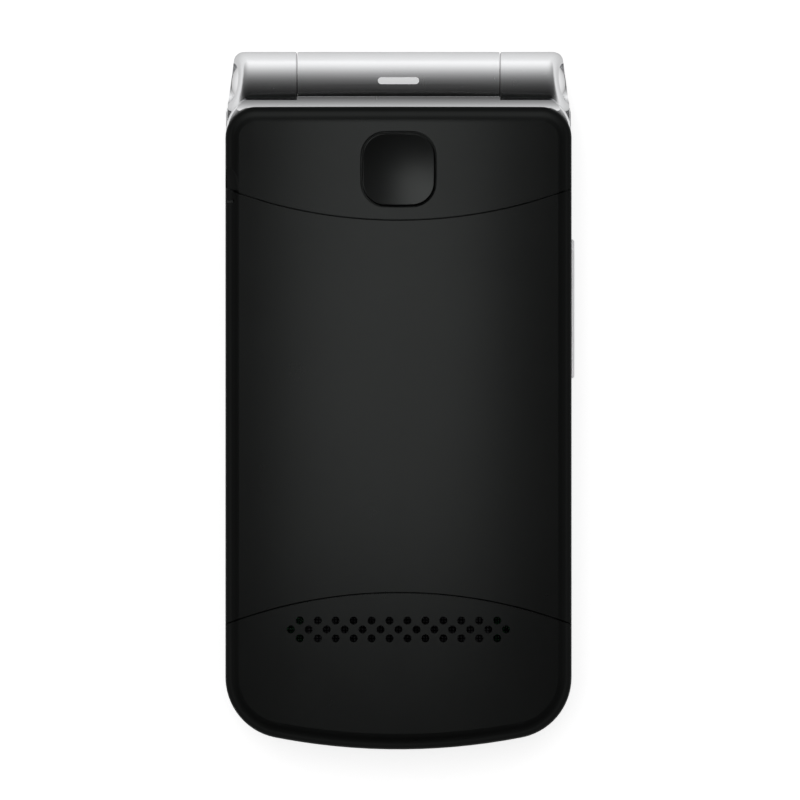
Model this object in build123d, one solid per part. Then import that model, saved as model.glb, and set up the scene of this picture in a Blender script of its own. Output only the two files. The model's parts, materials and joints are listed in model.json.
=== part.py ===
from build123d import *
import os
from math import sqrt

# A flip phone, closed and lying on its lid. X runs across it, Y towards the hinge
# and Z up through the lid and then the base half. Sizes are millimetres and degrees.
# The origin is on the table under the middle of the closed phone.

# ---- Whole phone ----
width = 52.0
length = 104.9
thickness = 18.8
lid_thickness = 8.6
parting_gap = 0.35
end_arc = 98.0            # radius of the arched free end, in plan
end_corner = 9.2          # corners at the free end, in plan
fit = 0.1                 # pieces that are only fitted together
running_gap = 0.3         # pieces that move past each other

# ---- Hinge ----
barrel_radius = 4.8
barrel_length = 30.6      # middle to middle of the two seams
seam_gap = 0.25
hinge_wall = 1.2          # housing left behind the barrel
barrel_wall = 1.2
knuckle_inset = 0.7       # side of the phone to the knuckle's end, at the hinge axis
knuckle_slant = 8.0       # ends turn in towards the top, in plan
knuckle_lean = 20.0       # ends lean in above the axis
knuckle_round = 1.5
cap_radius = 2.9
cap_gap = 0.15            # ring left open round the cap
cap_recess = 0.15
cap_dome = 4.3            # radius of the cap's face
cap_depth = 1.6
shaft_radius = 1.5
pin_radius = 2.2
pin_bore = 1.4
shaft_end_wall = 1.5      # left between the end cap and the shaft or pin
shaft_entry = 3.6         # how far they reach into the barrel
collar_recess = 0.2       # collars in the seams lie below the barrel's surface
collar_gap = 0.08         # collar to the end of the barrel
module_gap = 0.375        # spring module to the lamp's board
end_ring = 1.6            # wall of the barrel around the tubular pin

# ---- Base half, plan ----
back_setback = 3.62       # hinge axis to the top edge of the back
back_corner = 4.6
brow_setback = 2.05       # hinge axis to the outer face of the silver brow
brow_corner = 5.0
brow_groove = 0.12
knuckle_relief = 0.45     # brow stands further back behind the knuckles
frame_step = 0.1          # side band lies inside the back's outline
frame_wall = 1.4

# ---- Base half, heights ----
front_rim = 1.5
front_plate = 1.0
key_recess = 0.35
frame_band = 3.1
crown_radius = 170.0
back_round = 2.4
brow_rise = 0.25          # brow's edge at the back, above the silver band
brow_cove = 3.8           # radius of the hollow that runs along the brow
brow_dip = 0.4            # foot of the hollow, below the silver band's edge
brow_round = 0.9

# ---- Back housing and battery cover ----
cover_wall = 1.0
cover_gap = 0.15
deck_wall = 0.9
seam_width = 0.12
cover_bevel = 0.12           # cover's edge along its two seams
upper_seam_setback = 20.55   # hinge axis to the upper seam, on the centre line
upper_seam_arc = 73.5
lower_seam_rise = 23.45      # free end to the lower seam, on the centre line
lower_seam_arc = 73.0
skirt_depth = 0.8            # cover's side edge above the silver band
notch_radius = 6.0
notch_offset = 3.45          # middle of the scoop, out from the side
notch_lift = 0.7             # middle of the scoop, above the crown
notch_slot = 1.6
notch_slot_drop = 2.05       # slot below the end of the upper seam
finger_length = 5.0
finger_thick = 0.7
finger_depth = 2.0
finger_inset = 5.2
finger_spread = 15.0

# ---- Assist button ----
assist_setback = 13.05
assist_size = 10.9
assist_bulge = 0.3
assist_corner = 3.4
assist_gap = 0.32
assist_travel = 0.45
assist_lip = 0.8
assist_flange = 0.7
dish_depth = 0.65
dish_reach = 6.6             # radius of the dish at the height of the crown
dish_edge = 0.15

# ---- Loudspeaker grille ----
grille_setback = 18.05       # free end to the middle row
grille_pitch = 2.69
grille_row = 1.33
grille_hole = 1.2
grille_count = 13

# ---- Volume rocker ----
rocker_setback = 33.95
rocker_length = 20.9
rocker_height = 2.25
rocker_proud = 0.45
rocker_lift = 0.45           # above the foot of the silver band
rocker_gap = 0.18
rocker_lip = 0.8
rocker_flange = 0.8
rocker_play = 0.45

# ---- Keys ----
key_side_margin = 4.6        # outer keys to the side of the phone
key_space = 1.6              # between the keys of a row
key_height = 9.8
key_pitch_y = 12.0
key_corner = 2.6
key_gap = 0.2
key_sink = 0.05              # key faces behind the rim of the front
key_lip = 0.6
key_flange = 0.4
key_travel = 0.3
key_edge = 0.3
keys_rise = 17.45            # free end to the last row of keys
nav_rise = 72.4
nav_size = 18.6
nav_corner = 6.0
nav_lip = 0.55
nav_flange = 0.25
ok_radius = 3.9
ok_lip = 0.8
side_key_height = 7.4
side_key_space = 1.7         # beside the navigation ring
side_key_pitch = 10.6
dome_radius = 2.0
dome_height = 0.3
dome_reach = 6.9

# ---- Inside the base half ----
board_inset = 3.4
board_end_gap = 1.0
board_thickness = 0.8
bay_margin = 9.7
bay_end_margin = 4.3
bay_wall = 0.8
bay_floor_gap = 0.6
bay_floor = 0.5
contact_length = 2.4
sim_width = 15.0
sim_length = 12.0
screw_inset = 6.2
screw_end_margin = 2.9        # screws stand this far inside the cover's seams
boss_radius = 1.7
screw_radius = 0.8
screw_head_radius = 1.45
screw_head = 0.8
usb_width = 7.5
usb_height = 2.3
usb_depth = 5.6
usb_shell = 0.3
usb_gap = 0.1
speaker_width = 28.0
speaker_length = 10.5
mesh_thick = 0.3
motor_radius = 4.0
motor_height = 2.7
can_length = 10.0
can_height = 1.8
can_wall = 0.2
contact_width = 9.6
contact_height = 2.0
contact_tip = 0.6
sim_card_slot = 0.7
sim_side = 1.2
switch_width = 6.0
switch_base = 0.8            # plunger stands this far out of the assist switch
rocker_switch_depth = 2.4
rocker_switch_width = 4.0
rocker_switch_height = 1.2
rocker_switch_spread = 7.0
usb_tongue = 0.5
usb_tongue_sink = 1.2
speaker_corner = 4.0
mesh_margin = 1.0
motor_inset = 14.0
motor_rise = 8.6
microphone_x = 8.0
microphone_rise = 7.0
microphone_width = 3.8
microphone_length = 3.0
torch_length = 6.2
torch_width = 1.05
torch_offset = 0.35          # lens lies this far towards the end of the barrel
torch_board = 0.5

# ---- Lid half ----
lid_setback = 1.65           # hinge axis to the lid's hinge edge
lid_corner = 3.0
lid_floor = 1.3
lid_wall = 1.3
lid_round = 2.4
lid_band = 3.2               # height of the silver frame
bezel_inset = 0.9
bezel_thick = 1.3
window_width = 44.0
window_length = 56.0
window_thick = 0.8
window_sink = 0.1
window_ledge = 1.3
window_corner = 2.0
window_centre = -3.0
display_thick = 1.7
lid_board_gap = 0.5
lid_board_thick = 0.8
lid_board_width = 40.0
lid_board_length = 62.0
outer_window_width = 32.0
outer_window_length = 24.0
outer_window_centre = -4.0
outer_window_thick = 0.9
outer_display_thick = 1.8
camera_centre = 22.0
camera_radius = 3.4
camera_ring_radius = 4.8
camera_ring_thick = 0.9
bumper_radius = 1.9
bumper_height = 0.5
bumper_inset = 4.6
bumper_end_rise = 6.6
earpiece_rise = 7.0
earpiece_width = 9.0
earpiece_length = 1.3
earpiece_margin = 1.5        # capsule round its slot
earpiece_depth = 2.2

# ---- Worked out from the sizes above ----
half_width = width / 2
free_end = -length / 2
axis_y = length / 2 - barrel_radius
base_floor = lid_thickness + parting_gap
axis_z = lid_thickness + parting_gap / 2
collar_radius = barrel_radius - collar_recess
half_barrel = (barrel_length - seam_gap) / 2
knuckle_start = (barrel_length + seam_gap) / 2
knuckle_reach = half_width - knuckle_inset
shaft_end = knuckle_reach - cap_depth - shaft_end_wall
module_end = torch_length / 2 + barrel_wall + module_gap
scoop_radius = barrel_radius + running_gap
cavity_end = axis_y - scoop_radius - hinge_wall
frame_floor = base_floor + front_rim
frame_roof = frame_floor + frame_band
key_field = base_floor + key_recess
plate_top = key_field + front_plate
flange_floor = plate_top + fit
key_top = flange_floor + key_flange
board_floor = key_top + key_travel + dome_height + fit / 2
board_top = board_floor + board_thickness
bay_base = board_top + bay_floor_gap
bay_top = bay_base + bay_floor
deck_drop = cover_wall + cover_gap
housing_drop = deck_drop + deck_wall
cover_edge = frame_roof + skirt_depth
upper_seam = axis_y - upper_seam_setback
lower_seam = free_end + lower_seam_rise
bay_half = half_width - bay_margin
bay_hinge_end = upper_seam - bay_end_margin
bay_free_end = lower_seam + bay_end_margin
screw_x = half_width - screw_inset
nav_y = free_end + nav_rise
key_width = (width - 2 * key_side_margin - 2 * key_space) / 3
key_pitch_x = key_width + key_space
side_key_width = half_width - key_side_margin - nav_size / 2 - side_key_space
side_key_x = half_width - key_side_margin - side_key_width / 2
lid_frame_floor = lid_thickness - lid_band
bezel_floor = lid_thickness - bezel_thick
window_floor = lid_thickness - window_sink - window_thick
display_floor = window_floor - display_thick
lid_board_top = display_floor - lid_board_gap
lid_board_floor = lid_board_top - lid_board_thick
outer_window_roof = window_sink + outer_window_thick
rocker_y = axis_y - rocker_setback
rocker_floor = frame_floor + rocker_lift
rocker_back = half_width - frame_step - frame_wall - rocker_play
assist_y = axis_y - assist_setback
grille_y = free_end + grille_setback
band_middle = (frame_floor + frame_roof) / 2


def crown_height(x):
    """Height of the back's crown at a place across the phone."""
    return thickness - crown_radius + sqrt(crown_radius**2 - x**2)


assist_flange_roof = crown_height(assist_size / 2 + assist_lip) - housing_drop - running_gap
assist_flange_floor = assist_flange_roof - assist_flange
microphone_y = free_end + microphone_rise


def prism(face, low, high):
    """A plan face extruded from one height to another."""
    return Pos(0, 0, low) * extrude(face, amount=high - low)


def block(x_range, y_range, z_range):
    """A box given by its ranges along X, Y and Z."""
    size = [high - low for low, high in (x_range, y_range, z_range)]
    middle = [(low + high) / 2 for low, high in (x_range, y_range, z_range)]
    return Pos(*middle) * Box(*size)


def post(radius, x, y, low, high):
    """An upright round post."""
    return Pos(x, y, (low + high) / 2) * Cylinder(radius, high - low)


def rod(radius, start, end):
    """A round bar along the hinge axis."""
    bar = Cylinder(radius, end - start)
    return Pos((start + end) / 2, axis_y, axis_z) * Rot(0, 90, 0) * bar


def save(name, *pieces):
    """Write the solids of one sub-part to its own file."""
    solids = [solid for piece in pieces for solid in piece.solids()]
    export_step(Compound(children=solids), f"parts/{name}.step")


def outline(half, top, corner, inset=0.0):
    """Plan outline of a half: rounded shoulders at the hinge, an arched free end."""
    side = half - inset
    sweep = end_arc - inset
    foot = free_end + end_arc - sqrt(sweep**2 - side**2)
    head = top - inset
    end = ThreePointArc((side, foot), (0, free_end + inset), (-side, foot))
    rest = Polyline((-side, foot), (-side, head), (side, head), (side, foot))
    face = make_face(end + rest)
    shoulders = face.vertices().sort_by(Axis.Y)[-2:]
    face = fillet(shoulders, corner - inset)
    feet = face.vertices().sort_by(Axis.Y)[:2]
    return fillet(feet, end_corner - inset)


def back_outline(inset=0.0):
    return outline(half_width, axis_y - back_setback, back_corner, inset)


def under_crown(drop):
    """All space under the back's crown, lowered by a drop."""
    barrel = Cylinder(crown_radius - drop, 2 * length)
    return Pos(0, 0, thickness - crown_radius) * Rot(90, 0, 0) * barrel


def crowned(face, floor, drop, edge_round):
    """A plan face raised to the crown, with its upper edge rounded."""
    body = prism(face, floor, thickness + fit) & under_crown(drop)
    top = body.faces().sort_by(Axis.Z)[-1]
    return fillet(top.edges(), edge_round)


def back_form(inset=0.0, floor=frame_roof):
    """Outer form of the back, drawn in evenly by an inset."""
    edge_round = max(back_round - inset, fit)
    return crowned(back_outline(inset), floor, inset, edge_round)


def cover_plan(gap):
    """Plan of the battery cover's band between its two arched seams."""
    band = Rectangle(width + 2 * end_corner, length)
    upper = Pos(0, upper_seam + upper_seam_arc) * Circle(upper_seam_arc + gap)
    lower = Pos(0, lower_seam - lower_seam_arc) * Circle(lower_seam_arc + gap)
    return band - upper - lower


def rounded_square(size, bulge, corner):
    """A square with bowed sides and round corners."""
    a = size / 2 - bulge
    b = size / 2
    corners = [(a, a), (-a, a), (-a, -a), (a, -a)]
    middles = [(0, b), (-b, 0), (0, -b), (b, 0)]
    ends = corners[1:] + corners[:1]
    sides = [ThreePointArc(*points) for points in zip(corners, middles, ends)]
    face = make_face(Curve() + sides)
    return fillet(face.vertices(), corner)


# ---- Hinge ----
def knuckle_end(inset=0.0):
    """Everything beyond the right knuckle's end: it turns in and leans in."""
    size = 4 * barrel_radius
    lower = Pos(size / 2, 0, 0) * Box(size, size, size)
    upper = Rot(0, -knuckle_lean, 0) * lower
    above = Pos(0, 0, size / 2) * Box(2 * size, 2 * size, size)
    turned = Rot(0, 0, knuckle_slant) * (lower + (upper & above))
    return Pos(knuckle_reach - inset, axis_y, axis_z) * turned


def is_outer_rim(edge):
    """True for the edges where the knuckle's end meets its round side."""
    middle = edge.center()
    return middle.X > knuckle_start + barrel_radius and edge.geom_type != GeomType.LINE


def knuckle_blank():
    """Outer form of the right knuckle."""
    body = rod(barrel_radius, knuckle_start, half_width + cap_depth) - knuckle_end()
    return fillet(body.edges().filter_by(is_outer_rim), knuckle_round)


def right_knuckle():
    """Lid's knuckle with the seat of its end cap."""
    return knuckle_blank() - rod(cap_radius + cap_gap, knuckle_reach - cap_depth, half_width + cap_depth)


def end_cap():
    """Bright domed cap let into the knuckle's end."""
    body = rod(cap_radius, knuckle_reach - cap_depth, half_width + cap_depth)
    ball = Pos(knuckle_reach - cap_recess - cap_dome, axis_y, axis_z) * Rot(0, 90, 0) * Sphere(cap_dome)
    return body & ball


def hinge_shaft():
    """Solid shaft from the left knuckle into the spring module, with a thin thrust collar."""
    shaft = rod(shaft_radius, -shaft_end, shaft_entry - half_barrel)
    return shaft + rod(collar_radius, -knuckle_start, -half_barrel - collar_gap)


def hinge_pin():
    """Tubular pin from the right knuckle into the barrel; cables pass through it."""
    pin = rod(pin_radius, half_barrel - shaft_entry, shaft_end)
    pin += rod(collar_radius, half_barrel + collar_gap, knuckle_start)
    return pin - rod(pin_bore, 0, half_width)


def barrel_shell():
    shell = rod(barrel_radius, -half_barrel, half_barrel)
    shell -= rod(barrel_radius - barrel_wall, -half_barrel, half_barrel - end_ring)
    shell -= rod(pin_radius + running_gap, 0, half_barrel)
    return shell - torch_slot()


def torch_slot():
    """Space of the torch lens through the barrel's wall."""
    slot = Pos(0, axis_y + torch_offset) * SlotOverall(torch_length, torch_width)
    return prism(slot, axis_z, axis_z + barrel_radius)


def torch_lens():
    wall = rod(barrel_radius, -torch_length, torch_length)
    wall -= rod(barrel_radius - barrel_wall, -torch_length, torch_length)
    return wall & torch_slot()


def spring_module():
    """Cartridge that holds the phone open or shut, bored for the lid's shaft."""
    body = rod(barrel_radius - barrel_wall - fit, -half_barrel, -module_end)
    return body - rod(shaft_radius + running_gap, -half_barrel, shaft_entry + running_gap - half_barrel)


def hinge_flex():
    """Flexible circuit rolled up inside the barrel."""
    outer = barrel_radius - barrel_wall - fit
    start = torch_length / 2 + 2 * barrel_wall
    stop = half_barrel - shaft_entry - running_gap
    roll = rod(outer, start, stop) - rod(outer - 2 * fit, start, stop)
    slit = block((start, stop), (axis_y, axis_y + length), (axis_z - fit, axis_z + fit))
    return roll - slit


def torch_led():
    """Light on its own small board, seated across the barrel's bore under the lens."""
    bore = barrel_radius - barrel_wall
    shelf = axis_z + bore / 2
    reach = torch_length / 2 + barrel_wall
    board = block((-reach, reach), (axis_y - bore, axis_y + bore), (shelf - torch_board, shelf))
    board &= rod(bore, -reach, reach)
    plan = Pos(0, axis_y + torch_offset) * Rectangle(torch_length / 2, torch_width)
    return board + prism(plan, shelf, shelf + torch_width)


def barrel_seat(solid):
    """Hollow a base piece for its own barrel and clear it of the lid's knuckles."""
    solid -= rod(barrel_radius, -half_barrel - seam_gap / 2, half_barrel + seam_gap / 2)
    solid -= rod(scoop_radius, -width, -half_barrel - seam_gap / 2)
    return solid - rod(scoop_radius, half_barrel + seam_gap / 2, width)


# ---- Base half ----
def side_slot(gap):
    """Space of the volume rocker through the frame's wall."""
    reach = rocker_length / 2 + gap
    heights = (rocker_floor - gap, rocker_floor + rocker_height + gap)
    return block((half_width - 2 * frame_wall, width), (rocker_y - reach, rocker_y + reach), heights)


def usb_space(gap, mouth):
    """Outside of the charging socket, mid-height in the silver band."""
    x = usb_width / 2 + gap
    z = usb_height / 2 + gap
    ends = (free_end + mouth, free_end + frame_step + usb_depth)
    return block((-x, x), ends, (band_middle - z, band_middle + z))


def screw_lug(x, y):
    """Threaded lug that reaches in from the frame's wall over the circuit board."""
    side = 1 if x > 0 else -1
    span = sorted((x, side * (half_width - frame_wall)))
    lug = block(span, (y - boss_radius, y + boss_radius), (board_top, frame_roof))
    lug += post(boss_radius, x, y, board_top, frame_roof)
    return lug - post(screw_radius, x, y, board_top, frame_roof)


def frame_outline():
    return outline(half_width - frame_step, axis_y - brow_setback, brow_corner)


def brow():
    """Silver brow beside the barrel: a hollow ramp, rounded at the phone's shoulders."""
    edge = axis_y - brow_setback
    plan = prism(frame_outline(), frame_floor, frame_roof + brow_rise)
    straight = half_width - frame_step - brow_corner
    bar = plan & block((-straight, straight), (edge - brow_corner, edge), (frame_floor, thickness))
    form = fillet(plan.faces().sort_by(Axis.Z)[-1].edges(), brow_round) + bar
    hollow = Cylinder(brow_cove, 2 * width)
    return form - Pos(0, edge, frame_roof - brow_dip + brow_cove) * Rot(0, 90, 0) * hollow


def base_frame():
    """Silver band round the base half, rising as a brow beside the barrel."""
    frame = brow() - prism(back_outline(-brow_groove), frame_roof, thickness)
    inside = outline(half_width, cavity_end + frame_wall, brow_corner, frame_wall)
    frame -= prism(inside, frame_floor, frame_roof)
    frame = barrel_seat(frame)
    relief = (axis_y - brow_setback - knuckle_relief, axis_y)
    for side in (-1, 1):
        span = sorted((side * (half_barrel + seam_gap / 2), side * width))
        frame -= block(span, relief, (frame_floor, thickness))
    frame -= side_slot(rocker_gap)
    frame -= usb_space(usb_gap, 0)
    for x, y in base_screw_places():
        frame += screw_lug(x, y)
    return frame


def notch():
    """Thumbnail scoop beside the upper seam, at the left edge."""
    x = half_width + notch_offset
    return Pos(-x, upper_seam_at(half_width), thickness + notch_lift) * Sphere(notch_radius)


def nail_slot():
    """Short slot in the cover's edge, just below the upper seam."""
    y = upper_seam_at(half_width) - notch_slot_drop
    return block((-width, notch_slot - half_width), (y - 2 * fit, y + 2 * fit), (cover_edge, thickness))


def cover_fingers(gap):
    """Four fingers of the cover that stand in slots of the deck."""
    middle = (upper_seam + lower_seam) / 2
    x = half_width - finger_inset
    long, thick = finger_length / 2 + gap, finger_thick / 2 + gap
    fingers = Part()
    for side in (-1, 1):
        for end in (-1, 1):
            y = middle + end * finger_spread
            low = thickness - deck_drop - finger_depth - gap
            x_range = (side * x - thick, side * x + thick)
            fingers += block(x_range, (y - long, y + long), (low, thickness))
    return fingers


def bay_space(gap, low):
    """The battery bay let out all round, from a height upwards."""
    x_range = (-bay_half - gap, bay_half + gap)
    return block(x_range, (bay_free_end - gap, bay_hinge_end + gap), (low, thickness))


def battery_bay():
    """Open tub for the battery, hung from the deck, with a hole over the card socket."""
    tub = bay_space(bay_wall, bay_base) & under_crown(deck_drop)
    return tub - bay_space(0, bay_top) - sim_space(bay_base, bay_top, fit)


def sim_space(low, high, gap):
    """The card socket let out all round, between two heights."""
    y = (bay_free_end + bay_hinge_end) / 2
    x_reach = sim_width / 2 + gap
    y_reach = sim_length / 2 + gap
    return block((-x_reach, x_reach), (y - y_reach, y + y_reach), (low, high))


def assist_face(gap=0.0):
    """Plan of the assist button, let out all round."""
    return Pos(0, assist_y) * rounded_square(assist_size + 2 * gap, assist_bulge, assist_corner + gap)


def grille_holes():
    """Three staggered rows of round holes, the middle one longest."""
    middle = [(index - (grille_count - 1) / 2) * grille_pitch for index in range(grille_count)]
    outer = [x + grille_pitch / 2 for x in middle[:-1]]
    spots = [(x, grille_y) for x in middle]
    spots += [(x, grille_y + side * grille_row) for side in (-1, 1) for x in outer]
    holes = Sketch() + [Pos(*spot) * Circle(grille_hole / 2) for spot in spots]
    return prism(holes, frame_roof, thickness + fit)


def upper_seam_at(x):
    return upper_seam + upper_seam_arc - sqrt(upper_seam_arc**2 - x**2)


def lower_seam_at(x):
    return lower_seam - lower_seam_arc + sqrt(lower_seam_arc**2 - x**2)


def base_screw_places():
    ends = (upper_seam_at(screw_x) - screw_end_margin, lower_seam_at(screw_x) + screw_end_margin)
    return [(side * screw_x, y) for side in (-1, 1) for y in ends]


def rear_housing():
    """Back of the base half: fixed ends, the deck under the battery cover and its bay."""
    cover_band = prism(cover_plan(0), cover_edge, thickness + fit)
    hollow = back_form(housing_drop)
    shell = back_form() - cover_band - hollow
    shell += back_form(deck_drop) - hollow
    shell -= bay_space(0, bay_top)
    shell += battery_bay()
    shell = barrel_seat(shell)
    shell -= prism(assist_face(assist_gap), cover_edge, thickness)
    shell -= grille_holes()
    shell -= notch() - prism(cover_plan(0), frame_roof, thickness)
    shell -= cover_fingers(running_gap)
    for x, y in base_screw_places():
        high = crown_height(x) - deck_drop
        shell += post(boss_radius, x, y, frame_roof, high - deck_wall)
        shell -= post(screw_head_radius + fit, x, y, high - screw_head - fit, thickness)
        shell -= post(screw_radius + fit, x, y, frame_roof, thickness)
    return shell


def is_seam_edge(edge):
    """True for the long edges that run across the back."""
    return edge.length > half_width


def battery_cover():
    band = prism(cover_plan(seam_width), cover_edge + fit, thickness + fit)
    cover = (back_form() - back_form(cover_wall)) & band
    cover = chamfer(cover.edges().filter_by(is_seam_edge).sort_by(Axis.Z)[-2:], cover_bevel)
    fingers = cover_fingers(0) & under_crown(cover_wall / 2)
    return cover + fingers - nail_slot()


def front_housing():
    """Face of the base half: key field, key holes, and bosses for the screws."""
    body = prism(back_outline(), base_floor, frame_floor)
    body = fillet(body.faces().sort_by(Axis.Z)[0].edges(), front_rim / 2)
    body -= prism(outline(half_width, cavity_end, back_corner, frame_wall), plate_top, frame_floor)
    field = outline(half_width, cavity_end, back_corner, 2 * frame_wall)
    body -= prism(field, base_floor, key_field)
    body = barrel_seat(body)
    for _, face, _, _ in keys():
        body -= prism(face(key_gap), base_floor, plate_top)
    body -= post(screw_radius, microphone_x, microphone_y, base_floor, plate_top)
    return body


def base_screw(x, y):
    high = crown_height(x) - deck_drop
    head = post(screw_head_radius, x, y, high - screw_head, high - fit)
    head -= post(screw_radius / 2, x, y, high - screw_head / 2, high)
    return head + post(screw_radius, x, y, board_top + fit, high - screw_head)


def main_board():
    hinge_end = cavity_end - board_end_gap + board_inset
    board = prism(outline(half_width, hinge_end, brow_corner, board_inset), board_floor, board_top)
    return board - usb_space(usb_gap, 0)


def shield_can():
    """Thin steel can over the radio circuit, beside the assist switch."""
    x_range = (2 * board_inset - half_width, -assist_size)
    y_range = (assist_y - can_length / 2, assist_y + can_length / 2)
    can = block(x_range, y_range, (board_top, board_top + can_height))
    ranges = [(low + can_wall, high - can_wall) for low, high in (x_range, y_range)]
    return can - block(*ranges, (board_top, board_top + can_height - can_wall))


def usb_socket():
    """Steel shell of the charging socket, open at the free end, with its tongue."""
    deep = free_end + frame_step + usb_depth
    x = usb_width / 2 - usb_shell
    z = usb_height / 2 - usb_shell
    mouth = block((-x, x), (free_end, deep - usb_shell), (band_middle - z, band_middle + z))
    tongue_ends = (free_end + usb_tongue_sink, deep)
    tongue = block((-x / 2, x / 2), tongue_ends, (band_middle, band_middle + usb_tongue))
    return usb_space(0, frame_step + fit) - mouth + tongue


def battery_block():
    top = crown_height(bay_half) - cover_wall - running_gap
    reach = bay_half - running_gap
    ends = (bay_free_end + fit, bay_hinge_end - contact_length - fit)
    body = block((-reach, reach), ends, (bay_top + fit, top))
    return fillet(body.edges().filter_by(Axis.Y), 2 * running_gap)


def battery_contacts():
    """Contact block at the end of the bay, with three sprung tips against the battery."""
    reach = contact_width / 2
    face = bay_hinge_end - contact_length
    ends = (face + 2 * fit, bay_hinge_end - fit)
    body = block((-reach, reach), ends, (bay_top, bay_top + contact_height))
    tip_heights = (bay_top + contact_tip, bay_top + 2 * contact_tip)
    for index in (-1, 0, 1):
        x = index * contact_width / 4
        body += block((x - contact_tip / 2, x + contact_tip / 2), (face - fit, face + 2 * fit), tip_heights)
    return body


def sim_socket():
    """Card socket on the board, open towards the free end."""
    top = bay_top - fit
    body = sim_space(board_top, top, 0)
    slot = sim_space(top - sim_card_slot, top - 2 * fit, -sim_side)
    return body - slot - Pos(0, -2 * sim_side, 0) * slot


def loudspeaker():
    top = crown_height(speaker_width / 2) - housing_drop - mesh_thick - fit
    plan = Pos(0, grille_y) * RectangleRounded(speaker_width, speaker_length, speaker_corner)
    body = prism(plan, board_top, top)
    return fillet(body.faces().sort_by(Axis.Z)[-1].edges(), 2 * running_gap)


def speaker_mesh():
    """Thin screen that follows the inside of the back behind the grille."""
    wide = grille_count * grille_pitch + 2 * mesh_margin
    plan = Pos(0, grille_y) * RectangleRounded(wide, 4 * grille_row, grille_row)
    plate = prism(plan, frame_roof, thickness) & under_crown(housing_drop)
    return plate - under_crown(housing_drop + mesh_thick)


def microphone():
    x_range = (microphone_x - microphone_width / 2, microphone_x + microphone_width / 2)
    y_range = (microphone_y - microphone_length / 2, microphone_y + microphone_length / 2)
    return block(x_range, y_range, (plate_top + fit, board_floor))


def vibration_motor():
    x = half_width - motor_inset
    return post(motor_radius, x, free_end + motor_rise, board_top, board_top + motor_height)


def tact_switches():
    """Switch under the assist button and two behind the volume rocker."""
    top = assist_flange_floor - assist_travel - running_gap / 2
    half = switch_width / 2
    base = block((-half, half), (assist_y - half, assist_y + half), (board_top, top - switch_base))
    pieces = [base + post(shaft_radius, 0, assist_y, board_top, top)]
    edge = half_width - board_inset
    tip = rocker_back - rocker_flange - rocker_play
    reach = rocker_switch_width / 2
    for side in (-1, 1):
        y = rocker_y + side * rocker_switch_spread
        heights = (board_top, board_top + rocker_switch_height)
        body = block((edge - rocker_switch_depth, edge), (y - reach, y + reach), heights)
        nub_heights = (board_top + fit, board_top + rocker_switch_height / 2)
        pieces.append(body + block((edge, tip), (y - reach / 2, y + reach / 2), nub_heights))
    return pieces


def dome(x, y):
    """Snap dome under the board: a thin cap of a ball."""
    ball_radius = (dome_radius**2 + dome_height**2) / (2 * dome_height)
    ball = Pos(x, y, board_floor - dome_height + ball_radius) * Sphere(ball_radius)
    return ball & post(2 * dome_radius, x, y, board_floor - dome_height, board_floor)


def dome_places():
    """One dome beneath each key, and four for the navigation ring."""
    ring = [(dome_reach, 0), (-dome_reach, 0), (0, dome_reach), (0, -dome_reach)]
    places = [place for _, _, place, _ in keys()]
    return places + [(x, nav_y + y) for x, y in ring]


# ---- Moving pieces of the base half ----
def assist_button():
    """Dished button, held in by the flange behind the housing."""
    ball_radius = (dish_reach**2 + dish_depth**2) / (2 * dish_depth)
    ball = Pos(0, assist_y, thickness - dish_depth + ball_radius) * Sphere(ball_radius)
    body = prism(assist_face(), assist_flange_floor, thickness) - ball
    body = fillet(body.faces().sort_by(Axis.Z)[-1].edges(), dish_edge)
    return body + prism(assist_face(assist_lip), assist_flange_floor, assist_flange_floor + assist_flange)


def volume_rocker():
    """Bright rocker through the frame's wall, with a flange behind it."""
    heights = (rocker_floor, rocker_floor + rocker_height)
    foot = rocker_back - rocker_flange
    reach = rocker_length / 2
    body = block((foot, half_width + rocker_proud), (rocker_y - reach, rocker_y + reach), heights)
    body = fillet(body.faces().sort_by(Axis.X)[-1].edges(), rocker_proud)
    reach += rocker_lip
    return body + block((foot, rocker_back), (rocker_y - reach, rocker_y + reach), heights)


def key_shape(x, y, size_x, size_y, corner):
    """Plan of a key as a function of how far it is let out all round."""
    return lambda gap: Pos(x, y) * RectangleRounded(size_x + 2 * gap, size_y + 2 * gap, corner + gap)


def keys():
    """Name, plan, place and flange lip of every key."""
    names = ["key_1", "key_2", "key_3", "key_4", "key_5", "key_6"]
    names += ["key_7", "key_8", "key_9", "key_star", "key_0", "key_hash"]
    found = []
    for index, name in enumerate(names):
        x = (1 - index % 3) * key_pitch_x
        y = free_end + keys_rise + (3 - index // 3) * key_pitch_y
        face = key_shape(x, y, key_width, key_height, key_corner)
        found.append((name, face, (x, y), key_lip))
    corners = {"soft_key_left": (1, 1), "soft_key_right": (-1, 1)}
    corners |= {"call_key": (1, -1), "end_key": (-1, -1)}
    for name, (side, row) in corners.items():
        x = side * side_key_x
        y = nav_y + row * side_key_pitch / 2
        face = key_shape(x, y, side_key_width, side_key_height, key_corner)
        found.append((name, face, (x, y), key_lip))
    found.append(("nav_ring", key_shape(0, nav_y, nav_size, nav_size, nav_corner), (0, nav_y), nav_lip))
    return found


def pressed_key(face, lip):
    """A key cap with the flange that keeps it in its hole."""
    cap = prism(face(0), base_floor + key_sink, key_top)
    cap = fillet(cap.faces().sort_by(Axis.Z)[0].edges(), key_edge)
    return cap + prism(face(lip), flange_floor, key_top)


def ring_key(face, lip):
    """Navigation ring: thin flange, and a stepped hole for the OK key."""
    cap = prism(face(0), base_floor + key_sink, key_top)
    cap = fillet(cap.faces().sort_by(Axis.Z)[0].edges(), key_edge)
    cap += prism(face(lip), key_top - nav_flange, key_top)
    cap -= post(ok_radius + running_gap, 0, nav_y, base_floor, key_top)
    return cap - post(ok_radius + ok_lip + running_gap, 0, nav_y, plate_top - running_gap, key_top)


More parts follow.
